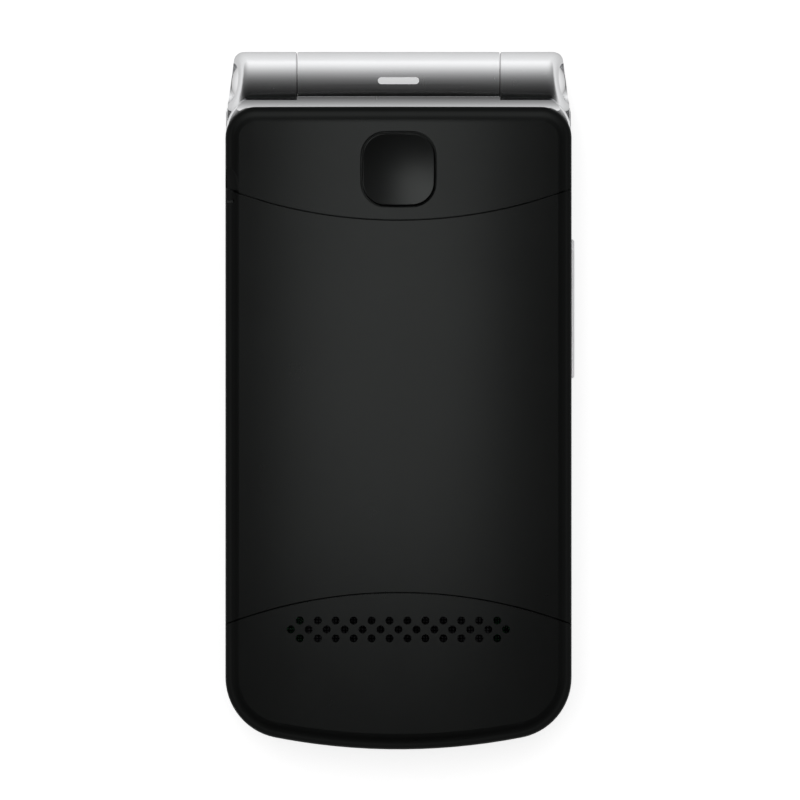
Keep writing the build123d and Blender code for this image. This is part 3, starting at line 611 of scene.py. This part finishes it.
def line_along(tree, size, axis):
    """Straight line of a given size, its middle at the origin."""
    line = tree.nodes.new("GeometryNodeCurvePrimitiveLine")
    half = math_node(tree, "MULTIPLY", size, 0.5)
    for end, side in (("Start", -1.0), ("End", 1.0)):
        corner = tree.nodes.new("ShaderNodeCombineXYZ")
        tree.links.new(math_node(tree, "MULTIPLY", half, side), corner.inputs[axis])
        tree.links.new(corner.outputs[0], line.inputs[end])
    return line


def wires_one_way(tree, given, sizes, axes, side):
    """Parallel wires of a woven screen that pass over and under the others."""
    line, rows = (line_along(tree, size, axis) for size, axis in zip(sizes, axes))
    steps, gaps = (math_node(tree, "DIVIDE", size, given.outputs["Pitch"]) for size in sizes)
    steps_per_wire, wire_sides = 4.0, 5
    resample, row_points, instances, realize, place, profile, tube = new_nodes(
        tree, "GeometryNode", "ResampleCurve", "CurveToPoints", "InstanceOnPoints",
        "RealizeInstances", "SetPosition", "CurvePrimitiveCircle", "CurveToMesh")
    steps = math_node(tree, "MULTIPLY", steps, steps_per_wire)
    tree.links.new(math_node(tree, "ADD", steps, 1.0), resample.inputs["Count"])
    tree.links.new(math_node(tree, "ADD", gaps, 1.0), row_points.inputs["Count"])
    chain(tree, line, resample)
    tree.links.new(resample.outputs[0], instances.inputs["Instance"])
    tree.links.new(woven_offset(tree, given, side), place.inputs["Offset"])
    profile.inputs["Resolution"].default_value = wire_sides
    tree.links.new(given.outputs["Wire radius"], profile.inputs["Radius"])
    tube.inputs["Fill Caps"].default_value = True
    tree.links.new(profile.outputs[0], tube.inputs["Profile Curve"])
    chain(tree, rows, row_points, instances, realize, place, tube)
    return tube


def woven_offset(tree, given, side):
    """Over-and-under wave of a wire, on the crown that the screen follows."""
    position = tree.nodes.new("GeometryNodeInputPosition")
    parts = tree.nodes.new("ShaderNodeSeparateXYZ")
    tree.links.new(position.outputs[0], parts.inputs[0])
    x, y = parts.outputs["X"], parts.outputs["Y"]
    sizes = math_node(tree, "ADD", given.outputs["Width"], given.outputs["Length"])
    run = math_node(tree, "ADD", math_node(tree, "ADD", x, y), math_node(tree, "MULTIPLY", sizes, 0.5))
    phase = math_node(tree, "MULTIPLY", math_node(tree, "DIVIDE", run, given.outputs["Pitch"]), math.pi)
    lift = math_node(tree, "MULTIPLY", given.outputs["Wire radius"], side)
    wave = math_node(tree, "MULTIPLY", math_node(tree, "COSINE", phase), lift)
    crown = given.outputs["Crown radius"]
    squares = [math_node(tree, "POWER", value, 2.0) for value in (crown, x)]
    inside = math_node(tree, "SUBTRACT", *squares)
    drop = math_node(tree, "SUBTRACT", math_node(tree, "SQRT", inside), crown)
    offset = tree.nodes.new("ShaderNodeCombineXYZ")
    tree.links.new(math_node(tree, "ADD", wave, drop), offset.inputs["Z"])
    return offset.outputs[0]


def woven_tree(name):
    """Screen of wires woven over and under each other."""
    labels = ("Width", "Length", "Pitch", "Wire radius", "Crown radius")
    tree, given, out = geometry_tree(name, *[(label, "Float") for label in labels])
    wide, long = given.outputs["Width"], given.outputs["Length"]
    join = tree.nodes.new("GeometryNodeJoinGeometry")
    for sizes, axes, side in (((wide, long), "XY", 1.0), ((long, wide), "YX", -1.0)):
        tube = wires_one_way(tree, given, sizes, axes, side)
        tree.links.new(tube.outputs[0], join.inputs[0])
    return end_tree(tree, given, out, join)


def copies_tree(name):
    """A copy of one object at each vertex of the mesh."""
    tree, given, out = geometry_tree(name, ("Part", "Object"))
    part, instances = new_nodes(tree, "GeometryNode", "ObjectInfo", "InstanceOnPoints")
    tree.links.new(given.outputs["Part"], part.inputs["Object"])
    tree.links.new(part.outputs["Geometry"], instances.inputs["Instance"])
    return end_tree(tree, given, out, given, instances)


def grown(base, maker, name, **values):
    """Plain mesh that a geometry tree makes from a base mesh and named inputs."""
    tree = bpy.data.node_groups.get(name) or maker(name)
    carrier = linked("carrier", base)
    modifier = carrier.modifiers.new("nodes", "NODES")
    modifier.node_group = tree
    for item in tree.interface.items_tree:
        label = item.name.lower().replace(" ", "_")
        if item.in_out == "INPUT" and label in values:
            modifier[item.identifier] = values[label]
    return mesh_of(carrier)


def copies(part_mesh, points, material):
    """One mesh with a copy of a part at each point."""
    part = linked("part", part_mesh)
    spots = bpy.data.meshes.new("spots")
    spots.from_pydata(points, [], [])
    mesh = grown(spots, copies_tree, "copies_at_points", part=part, material=material)
    bpy.data.objects.remove(part)
    return mesh


def woven_screen(width, length, crown, middle, material):
    """Mesh of a woven screen about a middle, with its wires at the set pitch."""
    detail = bpy.context.scene.phone_detail
    pitch = detail.wire_pitch
    mesh = grown(
        bpy.data.meshes.new("bare"), woven_tree, "woven_screen",
        width=pitch * round(width / pitch), length=pitch * round(length / pitch), pitch=pitch,
        wire_radius=detail.wire_radius, crown_radius=crown, material=material,
    )
    return cleaned(mesh, Matrix.Translation(middle))


# ---- Operators: the CAD parts' finishes ----
class PhoneOperator:
    """What the operators share: they run at any time and can be undone."""

    bl_options = {"REGISTER", "UNDO"}

    def execute(self, context):
        self.make(context.scene)
        return {"FINISHED"}


class PHONE_OT_black_shells(PhoneOperator, bpy.types.Operator):
    """Satin black on the back, the battery cover, the assist button and the lid"""

    bl_idname = "phone.black_shells"
    bl_label = "Black shells"

    def make(self, scene):
        finish = scene.phone_finish
        dress(BLACK_SHELLS, satin_black("satin_black", finish.shell_tone, finish.shell_roughness))


class PHONE_OT_silver_parts(PhoneOperator, bpy.types.Operator):
    """Satin silver on the frames, the knuckles and the hinge barrel"""

    bl_idname = "phone.silver_parts"
    bl_label = "Silver parts"

    def make(self, scene):
        finish = scene.phone_finish
        dress(SILVER_PARTS, painted_metal("satin_silver", finish.silver_tone, finish.silver_roughness))


class PHONE_OT_bright_parts(PhoneOperator, bpy.types.Operator):
    """Chrome on the hinge caps and the camera's ring, bright paint on the volume rocker"""

    bl_idname = "phone.bright_parts"
    bl_label = "Bright parts"

    def make(self, scene):
        finish = scene.phone_finish
        dress(BRIGHT_PARTS, polished_metal("chrome_plate", finish.chrome_tone))
        bright = coat("bright_silver", finish.chrome_tone, 0.35, drift=0.03, Metallic=0.3, IOR=1.5)
        dress(("volume_rocker",), bright)


class PHONE_OT_inner_faces(PhoneOperator, bpy.types.Operator):
    """Polished black on the two inner faces, and the rubber pads between them"""

    bl_idname = "phone.inner_faces"
    bl_label = "Inner faces"

    def make(self, scene):
        gloss = moulded_plastic("polished_black", (0.012, 0.012, 0.013), 0.1, 0.9 * MM, 0.001 * MM,
                                smudge=0.1)
        dress(GLOSSY_FACES, gloss)
        rubber = moulded_plastic("soft_rubber", (0.02, 0.02, 0.021), 0.8, 0.06 * MM, 0.01 * MM)
        dress(("lid_bumpers",), rubber)


class PHONE_OT_windows(PhoneOperator, bpy.types.Operator):
    """Tinted windows over unlit displays"""

    bl_idname = "phone.windows"
    bl_label = "Windows and displays"

    def make(self, scene):
        dress(WINDOWS, window_glass("tinted_window"))
        dress(DISPLAYS, display_panel("unlit_display"))


class PHONE_OT_torch(PhoneOperator, bpy.types.Operator):
    """Frosted torch lens in the barrel, its lamp and the rolled circuit"""

    bl_idname = "phone.torch"
    bl_label = "Torch"

    def make(self, scene):
        dress(("torch_lens",), frosted_lens("frosted_lens"))
        dress(("torch_led",), moulded_plastic("lamp_board", (0.78, 0.74, 0.5), 0.4))
        dress(("hinge_flex",), moulded_plastic("amber_film", (0.5, 0.22, 0.05), 0.25, drift=0.2))


class PHONE_OT_electronics(PhoneOperator, bpy.types.Operator):
    """Steel, boards and dark mouldings inside the two halves"""

    bl_idname = "phone.electronics"
    bl_label = "Electronics"

    def make(self, scene):
        dress(TURNED_STEEL, brushed_metal("turned_steel", (0.56, 0.56, 0.57), 0.32))
        dress(STAMPED_STEEL, brushed_metal("stamped_steel", (0.62, 0.61, 0.6), 0.28, 0.15 * MM))
        dress(CIRCUIT_BOARDS, board_lacquer("green_lacquer"))
        dark = moulded_plastic("dark_moulding", (0.035, 0.035, 0.038), 0.55, depth=0.006 * MM)
        dress(DARK_MOULDINGS, dark)


class PHONE_OT_keys(PhoneOperator, bpy.types.Operator):
    """Key caps with plain printed digits and signs"""

    bl_idname = "phone.keys"
    bl_label = "Keys"

    def make(self, scene):
        finish, detail = scene.phone_finish, scene.phone_detail
        caps = moulded_plastic("key_caps", finish.key_tone, 0.38, grain=0.1 * MM)
        dress((*NUMBER_KEYS, *SIDE_KEYS, "ok_key"), caps)
        dress(("nav_ring",), painted_metal("key_silver", finish.silver_tone, finish.silver_roughness))
        white = mark_paint("white_print", finish.mark_tone)
        star_scale, ok_scale = 1.5, 0.5
        for node, words in NUMBER_KEYS.items():
            size = detail.digit_size * (star_scale if words == "*" else 1.0)
            self.print_words(node, words, size, white, detail.print_height)
        self.print_words("ok_key", "OK", ok_scale * detail.digit_size, white, detail.print_height)
        self.side_signs(white, detail.print_height)
        self.ring_arrows(detail.print_height)

    def face_of(self, node):
        """Middle of a key's face, which looks down."""
        middle = box_middle(node)
        return middle.x, middle.y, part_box(node)[0].z

    def print_words(self, node, words, size, paint, height):
        place = face_down_at(*self.face_of(node))
        printed_text(node + "_mark", words, size, height, place, paint, node)

    def side_signs(self, white, height):
        """Bars on the two soft keys, handsets on the call and end keys."""
        bar = [round_bar(3.6 * MM, 0.7 * MM)]
        lying = handset(2.2 * MM)
        raised = turned(lying, 50)
        green = mark_paint("green_print", (0.02, 0.5, 0.06))
        red = mark_paint("red_print", (0.7, 0.02, 0.015))
        signs = {
            "soft_key_left": (bar, white),
            "soft_key_right": (bar, white),
            "call_key": ([raised], green),
            "end_key": ([lying], red),
        }
        for node, (outlines, paint) in signs.items():
            place = face_down_at(*self.face_of(node))
            printed_shape(node + "_mark", outlines, height, place, paint, node)

    def ring_arrows(self, height):
        """Four small triangles round the navigation ring."""
        side, reach = 0.9 * MM, 6.9 * MM
        tip = [(-side, reach - side / 2), (side, reach - side / 2), (0, reach + side / 2)]
        arrows = [turned(tip, degrees) for degrees in (0, 90, 180, 270)]
        dark = mark_paint("dark_print", (0.03, 0.03, 0.035))
        place = face_down_at(*self.face_of("nav_ring"))
        printed_shape("nav_ring_marks", arrows, height, place, dark, "nav_ring")


class PHONE_OT_speaker_screens(PhoneOperator, bpy.types.Operator):
    """Woven screens behind the grille and in the earpiece slot"""

    bl_idname = "phone.speaker_screens"
    bl_label = "Speaker screens"

    def make(self, scene):
        wire = brushed_metal("dark_wire", (0.004, 0.004, 0.0045), 0.5)
        dress(("speaker_mesh",), wire)
        low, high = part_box("speaker_mesh")
        middle = (low + high) / 2
        size = high - low
        sheet = 0.3 * MM
        rise = size.z - sheet
        crown = ((size.x / 2) ** 2 + rise**2) / (2 * rise)
        inset = 4 * scene.phone_detail.wire_radius
        place = (middle.x, middle.y, high.z - inset / 2)
        mesh = woven_screen(size.x - inset, size.y - inset, crown, place, wire)
        screen = new_piece("speaker_screen", mesh, wire, "base")
        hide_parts("speaker_mesh")
        slot = box_middle("earpiece")
        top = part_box("earpiece")[1].z
        wide, long, gap, flat = 8.2 * MM, 0.8 * MM, 0.4 * MM, 1.0
        mesh = woven_screen(wide, long, flat, (slot.x, slot.y, top + gap), wire)
        new_piece("earpiece_screen", mesh, wire, "lid")


class PHONE_OT_camera_lens(PhoneOperator, bpy.types.Operator):
    """Glass dome and iris of the camera"""

    bl_idname = "phone.camera_lens"
    bl_label = "Camera lens"

    def make(self, scene):
        dress(("camera_module",), moulded_plastic("camera_barrel", (0.012, 0.012, 0.013), 0.3))
        low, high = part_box("camera_module")
        middle = (low + high) / 2
        radius, bulge, dish, steps = 1.62 * MM, 0.2 * MM, 0.28 * MM, 9
        place = face_down_at(middle.x, middle.y, low.z + dish)
        bow = [(radius * math.cos(a), bulge * math.sin(a))
               for a in [math.pi / 2 * i / (steps - 1) for i in range(steps)]]
        bow[-1] = (0, bow[-1][1])
        dome = lathe([(0, 0), *bow])
        glass = coat("lens_glass", (0.5, 0.45, 0.7), 0.02, smudge=0.01, scratch=0.0,
                     Transmission_Weight=1.0, IOR=1.6, Coat_Weight=1.0)
        new_piece("camera_lens", smooth(cleaned(dome, place)), glass, "lid")
        inner, outer, edge, rim, behind = 0.6 * MM, 1.5 * MM, 0.02 * MM, 0.05 * MM, 0.06 * MM
        iris = lathe([(inner, 0.0), (outer, 0.0), (outer, rim), (inner, edge)])
        ring = polished_metal("iris_metal", (0.12, 0.1, 0.14), 0.2)
        sunk = place @ Matrix.Translation((0, 0, -behind))
        new_piece("camera_iris", smooth(cleaned(iris, sunk)), ring, "lid")


class PHONE_OT_cover_screws(PhoneOperator, bpy.types.Operator):
    """Cross-head screws under the battery cover"""

    bl_idname = "phone.cover_screws"
    bl_label = "Cover screws"

    def make(self, scene):
        steel = brushed_metal("screw_steel", (0.5, 0.5, 0.51), 0.3)
        dress(("base_screws",), steel)
        low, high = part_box("base_screws")
        head, core = 1.45 * MM, 0.8 * MM
        columns, rows = (low.x + head, high.x - head), (low.y + head, high.y - head)
        spots = [(x, y, 0) for x in columns for y in rows]
        mesh = copies(self.screw(head, core, low.z, high.z), spots, steel)
        screws = new_piece("cover_screws", smooth(cleaned(mesh)), steel, "base")
        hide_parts("base_screws")

    def screw(self, head, core, low, high):
        """One screw on the Z axis with a cross cut into its head."""
        neck = high - 0.7 * MM
        profile = [(0, low), (core * 0.6, low), (core * 0.85, low + 0.3 * MM), (core * 0.85, neck),
                   (head, neck), (head, high - 0.25 * MM), (head * 0.9, high - 0.08 * MM),
                   (head * 0.7, high), (0, high)]
        body = linked("screw", lathe(profile))
        work = bmesh.new()
        long, narrow, deep = 1.9 * MM, 0.34 * MM, 0.9 * MM
        for size in ((long, narrow, deep), (narrow, long, deep)):
            place = Matrix.Translation((0, 0, high)) @ Matrix.Diagonal((*size, 1))
            bmesh.ops.create_cube(work, size=1.0, matrix=place)
        cutter = linked("cutter", written(work))
        cut = body.modifiers.new("cross", "BOOLEAN")
        cut.object = cutter
        cut.use_self = True
        mesh = mesh_of(body)
        bpy.data.objects.remove(cutter)
        return mesh


class PHONE_OT_socket_contacts(PhoneOperator, bpy.types.Operator):
    """Gilt contacts on the charging socket's tongue and the battery's terminals"""

    bl_idname = "phone.socket_contacts"
    bl_label = "Contacts"

    def make(self, scene):
        gilt = polished_metal("gilt", (0.9, 0.65, 0.28), 0.16)
        low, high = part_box("usb_socket")
        middle = (low + high) / 2
        count = scene.phone_detail.contact_count
        pitch, length, below = 0.62 * MM, 2.6 * MM, 0.03 * MM
        columns = [(i - (count - 1) / 2) * pitch for i in range(count)]
        spots = [(x, low.y + length, middle.z - below) for x in columns]
        mesh = copies(self.strip(0.32 * MM, length, 0.08 * MM), spots, gilt)
        new_piece("socket_contacts", cleaned(mesh), gilt, "base")
        low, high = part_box("battery_contacts")
        pitch, proud, up, side = (high.x - low.x) / 4, 0.02 * MM, 0.9 * MM, 0.45 * MM
        spots = [(i * pitch, low.y - proud, low.z + up) for i in (-1, 0, 1)]
        mesh = copies(self.strip(side, 0.08 * MM, side), spots, gilt)
        new_piece("battery_terminals", cleaned(mesh), gilt, "base")

    def strip(self, width, length, height):
        """A small bar with its edges taken off."""
        taken = 0.2 * min(width, height, length)
        work = bmesh.new()
        bmesh.ops.create_cube(work, size=1.0, matrix=Matrix.Diagonal((width, length, height, 1)))
        bmesh.ops.bevel(work, geom=work.edges[:], offset=taken, segments=2, affect="EDGES")
        return written(work)


class PHONE_OT_battery(PhoneOperator, bpy.types.Operator):
    """Wrapped battery with a plain label and its polarity signs"""

    bl_idname = "phone.battery"
    bl_label = "Battery"

    def make(self, scene):
        dress(("battery",), moulded_plastic("battery_wrap", (0.09, 0.095, 0.105), 0.35, drift=0.1))
        low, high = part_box("battery")
        middle = (low + high) / 2
        margin, label_height, ink_height = 2.5 * MM, 0.04 * MM, 0.06 * MM
        wide, long = high.x - low.x - 2 * margin, high.y - low.y - 3 * margin
        top = Matrix.Translation((middle.x, middle.y - margin / 2, high.z))
        label = mark_paint("label_paper", (0.5, 0.51, 0.52))
        corner = 1.5 * MM
        outline = self.round_rectangle(wide, long, corner)
        printed_shape("battery_label", [outline], label_height, top, label, "base")
        stripe = mark_paint("label_stripe", (0.05, 0.12, 0.2))
        bar, spacing = round_bar(wide - 4 * corner, 0.8 * MM), 3 * MM
        bars = [[(x, y + i * spacing) for x, y in bar] for i in (-2, -1, 0)]
        printed_shape("battery_stripes", bars, ink_height, top, stripe, "base")
        dark = mark_paint("label_ink", (0.02, 0.02, 0.02))
        size, aside, below = 4 * MM, 4 * MM, 1.6 * margin
        for name, words, side in (("battery_plus", "+", -1), ("battery_minus", "-", 1)):
            place = Matrix.Translation((middle.x + side * aside, high.y - below, high.z))
            printed_text(name, words, size, ink_height, place, dark, "base")

    def round_rectangle(self, wide, long, corner):
        """Outline of a rectangle with round corners."""
        x, y = wide / 2 - corner, long / 2 - corner
        turns = ((x, y, 0), (-x, y, 90), (-x, -y, 180), (x, -y, 270))
        return [(a + cx, b + cy) for cx, cy, start in turns
                for a, b in arc(corner, start, start + 90, 7)]


# ---- Operators: the stage ----
class PHONE_OT_stage(PhoneOperator, bpy.types.Operator):
    """White floor, soft studio light and the camera"""

    bl_idname = "phone.stage"
    bl_label = "Stage"

    def make(self, scene):
        studio = scene.phone_studio
        scene.view_settings.view_transform = "Standard"
        self.floor(studio.floor_lift)
        self.world(scene)
        height, wide, aside = 1.2, 0.9, 0.1
        fill = self.lamp("fill_lamp", (-aside, aside, height), (wide, wide))
        fill.data.energy = studio.fill_level * (math.pi * height) ** 2
        fill.visible_glossy = False
        self.softbox("back_softbox", ("base_rear_housing", "battery_cover", "lid_outer_shell"),
                     (-5 * MM, 32 * MM), (106 * MM, 125 * MM), studio.sheen_level)
        self.softbox("button_softbox", ("assist_button",),
                     (-40 * MM, 75 * MM), (80 * MM, 80 * MM), studio.sheen_level)
        self.side_lamp(studio.key_level)
        self.camera(scene, studio)

    def floor(self, lift):
        """White floor that keeps the phone's shadow, with a painted shade round the phone where metal
        and glass reflect it.
        """
        half, sunk = 3.0, -0.05 * MM
        mesh = bpy.data.meshes.new("floor")
        corners = [(-half, -half, sunk), (half, -half, sunk), (half, half, sunk), (-half, half, sunk)]
        mesh.from_pydata(corners, [], [(0, 1, 2, 3)])
        floor = linked("floor", mesh)
        material = bpy.data.materials.new("floor_white")
        tree = emptied(material)
        grey, mirror_share = (0.55, 0.55, 0.55, 1.0), 0.8
        paint, glow, both, path, output = new_nodes(
            tree, "ShaderNode", "BsdfDiffuse", "Emission", "AddShader", "LightPath", "OutputMaterial")
        paint.inputs["Color"].default_value = grey
        # painted shade: the floor's white dims near the phone where metal and glass reflect it
        mirrored = math_node(tree, "MULTIPLY", path.outputs["Is Glossy Ray"], self.painted_reflection_shade(tree))
        mirrored = math_node(tree, "MULTIPLY", mirrored, mirror_share)
        seen = math_node(tree, "MAXIMUM", self.seen_straight(tree, path), mirrored)
        tree.links.new(math_node(tree, "MULTIPLY", seen, lift), glow.inputs["Strength"])
        tree.links.new(paint.outputs[0], both.inputs[0])
        tree.links.new(glow.outputs[0], both.inputs[1])
        tree.links.new(both.outputs[0], output.inputs["Surface"])
        mesh.materials.append(material)

    def axes(self, tree, kind):
        """X, Y and Z of the floor's own coordinates or of the world's directions."""
        place, parts = new_nodes(tree, "ShaderNode", "TexCoord", "SeparateXYZ")
        tree.links.new(place.outputs[kind], parts.inputs[0])
        return parts.outputs

    def seen_straight(self, tree, path):
        """1 for rays from the camera or through glass, 0 for the others."""
        rays = path.outputs
        return math_node(tree, "MAXIMUM", rays["Is Camera Ray"], rays["Is Transmission Ray"])

    def painted_reflection_shade(self, tree):
        """Painted shade round the phone in reflections: 0 on the floor right beside the phone, rising to
        1 far from it.
        """
        shade_half_width = 8 * MM
        parts = self.axes(tree, "Object")
        squares = []
        for axis, reach in (("X", cad_box[1].x), ("Y", cad_box[1].y)):
            from_middle = math_node(tree, "ABSOLUTE", parts[axis])
            outside = math_node(tree, "SUBTRACT", from_middle, reach)
            squares.append(math_node(tree, "POWER", math_node(tree, "MAXIMUM", outside, 0.0), 2.0))
        distance = math_node(tree, "SQRT", math_node(tree, "ADD", *squares))
        return math_node(tree, "DIVIDE", distance, math_node(tree, "ADD", distance, shade_half_width))

    def world(self, scene):
        """Studio that is bright beyond the hinge, dim above and pale at the horizon."""
        scene.world = bpy.data.worlds.new("studio")
        tree = emptied(scene.world)
        parts = self.axes(tree, "Generated")
        height = math_node(tree, "MULTIPLY_ADD", parts["Z"], 0.5, 0.5)
        stops = ((0.5, 0.85), (0.55, 0.5), (0.62, 0.22), (0.74, 0.06), (0.88, 0.0))
        room = grey_ramp(tree, height, stops)
        towards = math_node(tree, "MULTIPLY_ADD", parts["Y"], 0.5, 0.5)
        peak, falloff = 1.22, 5.15
        turn = math_node(tree, "MULTIPLY", math_node(tree, "SUBTRACT", towards, 1.0), falloff)
        ahead = math_node(tree, "MULTIPLY", math_node(tree, "EXPONENT", turn), peak)
        light = math_node(tree, "MAXIMUM", room, ahead)
        studio, white, mix, path, output = new_nodes(
            tree, "ShaderNode", "Background", "Background", "MixShader", "LightPath", "OutputWorld")
        tree.links.new(light, studio.inputs["Color"])
        white.inputs["Color"].default_value = (1.0, 1.0, 1.0, 1.0)
        tree.links.new(self.seen_straight(tree, path), mix.inputs["Fac"])
        tree.links.new(studio.outputs[0], mix.inputs[1])
        tree.links.new(white.outputs[0], mix.inputs[2])
        tree.links.new(mix.outputs[0], output.inputs["Surface"])

    def lamp(self, name, place, size):
        """Area lamp that looks straight down and that the camera doesn't see."""
        data = bpy.data.lights.new(name, "AREA")
        data.shape = "RECTANGLE"
        data.size, data.size_y = size
        lamp = linked(name, data)
        lamp.location = place
        lamp.visible_camera = False
        return lamp

    def light_only(self, lamp, parts):
        """Let a lamp light some parts alone."""
        lit = bpy.data.collections.new(lamp.name)
        for part in parts:
            lit.objects.link(frame["nodes"][part])
        lamp.light_linking.receiver_collection = lit

    def softbox(self, name, parts, middle, size, level):
        """Lamp close over the back, whose soft shine lies on some black parts alone."""
        height = 207 * MM
        lamp = self.lamp(name, (*middle, height), size)
        lamp.data.energy = level * (math.pi * (height - cad_box[1].z)) ** 2
        self.light_only(lamp, parts)

    def side_lamp(self, level):
        """Lamp up beside the phone that lights the volume rocker alone."""
        reach = 200 * MM
        lamp = self.lamp("side_lamp", (reach, 0, reach), (60 * MM, 120 * MM))
        lamp.rotation_euler = (0, math.radians(45), 0)
        lamp.data.energy = level * 2 * (math.pi * reach) ** 2
        self.light_only(lamp, ("volume_rocker",))

    def camera(self, scene, studio):
        """Long lens looking straight down at the back, with the hinge at the top."""
        data = bpy.data.cameras.new("camera")
        data.lens = studio.lens
        camera = linked("camera", data)
        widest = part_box("base_frame")[1].z
        reach = studio.view_width * data.lens / data.sensor_width
        camera.location = (studio.view_offset, 0, widest + reach)
        scene.camera = camera


OPERATORS = (
    PHONE_OT_stage, PHONE_OT_black_shells, PHONE_OT_silver_parts, PHONE_OT_bright_parts,
    PHONE_OT_inner_faces, PHONE_OT_windows, PHONE_OT_torch, PHONE_OT_electronics, PHONE_OT_keys,
    PHONE_OT_speaker_screens, PHONE_OT_camera_lens, PHONE_OT_cover_screws,
    PHONE_OT_socket_contacts, PHONE_OT_battery,
)
SETTINGS = {"phone_finish": PhoneFinish, "phone_detail": PhoneDetail, "phone_studio": PhoneStudio}


class PHONE_PT_panel(bpy.types.Panel):
    """Settings and steps of the phone"""

    bl_idname = "PHONE_PT_panel"
    bl_label = "Flip phone"
    bl_space_type = "VIEW_3D"
    bl_region_type = "UI"
    bl_category = "Phone"

    def draw(self, context):
        for name, group in SETTINGS.items():
            box = self.layout.box()
            for label in group.__annotations__:
                box.prop(getattr(context.scene, name), label)
        for operator in OPERATORS:
            self.layout.operator(operator.bl_idname)


def register():
    for group in (*SETTINGS.values(), *OPERATORS, PHONE_PT_panel):
        bpy.utils.register_class(group)
    for name, group in SETTINGS.items():
        setattr(bpy.types.Scene, name, PointerProperty(type=group))


def unregister():
    for name in SETTINGS:
        delattr(bpy.types.Scene, name)
    for group in reversed((*SETTINGS.values(), *OPERATORS, PHONE_PT_panel)):
        bpy.utils.unregister_class(group)


def main():
    """Clear the start-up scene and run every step."""
    for leftover in startup_objects:
        bpy.data.objects.remove(leftover)
    register()
    for operator in OPERATORS:
        group, name = operator.bl_idname.split(".")
        getattr(getattr(bpy.ops, group), name)()


if __name__ == "__main__":
    main()
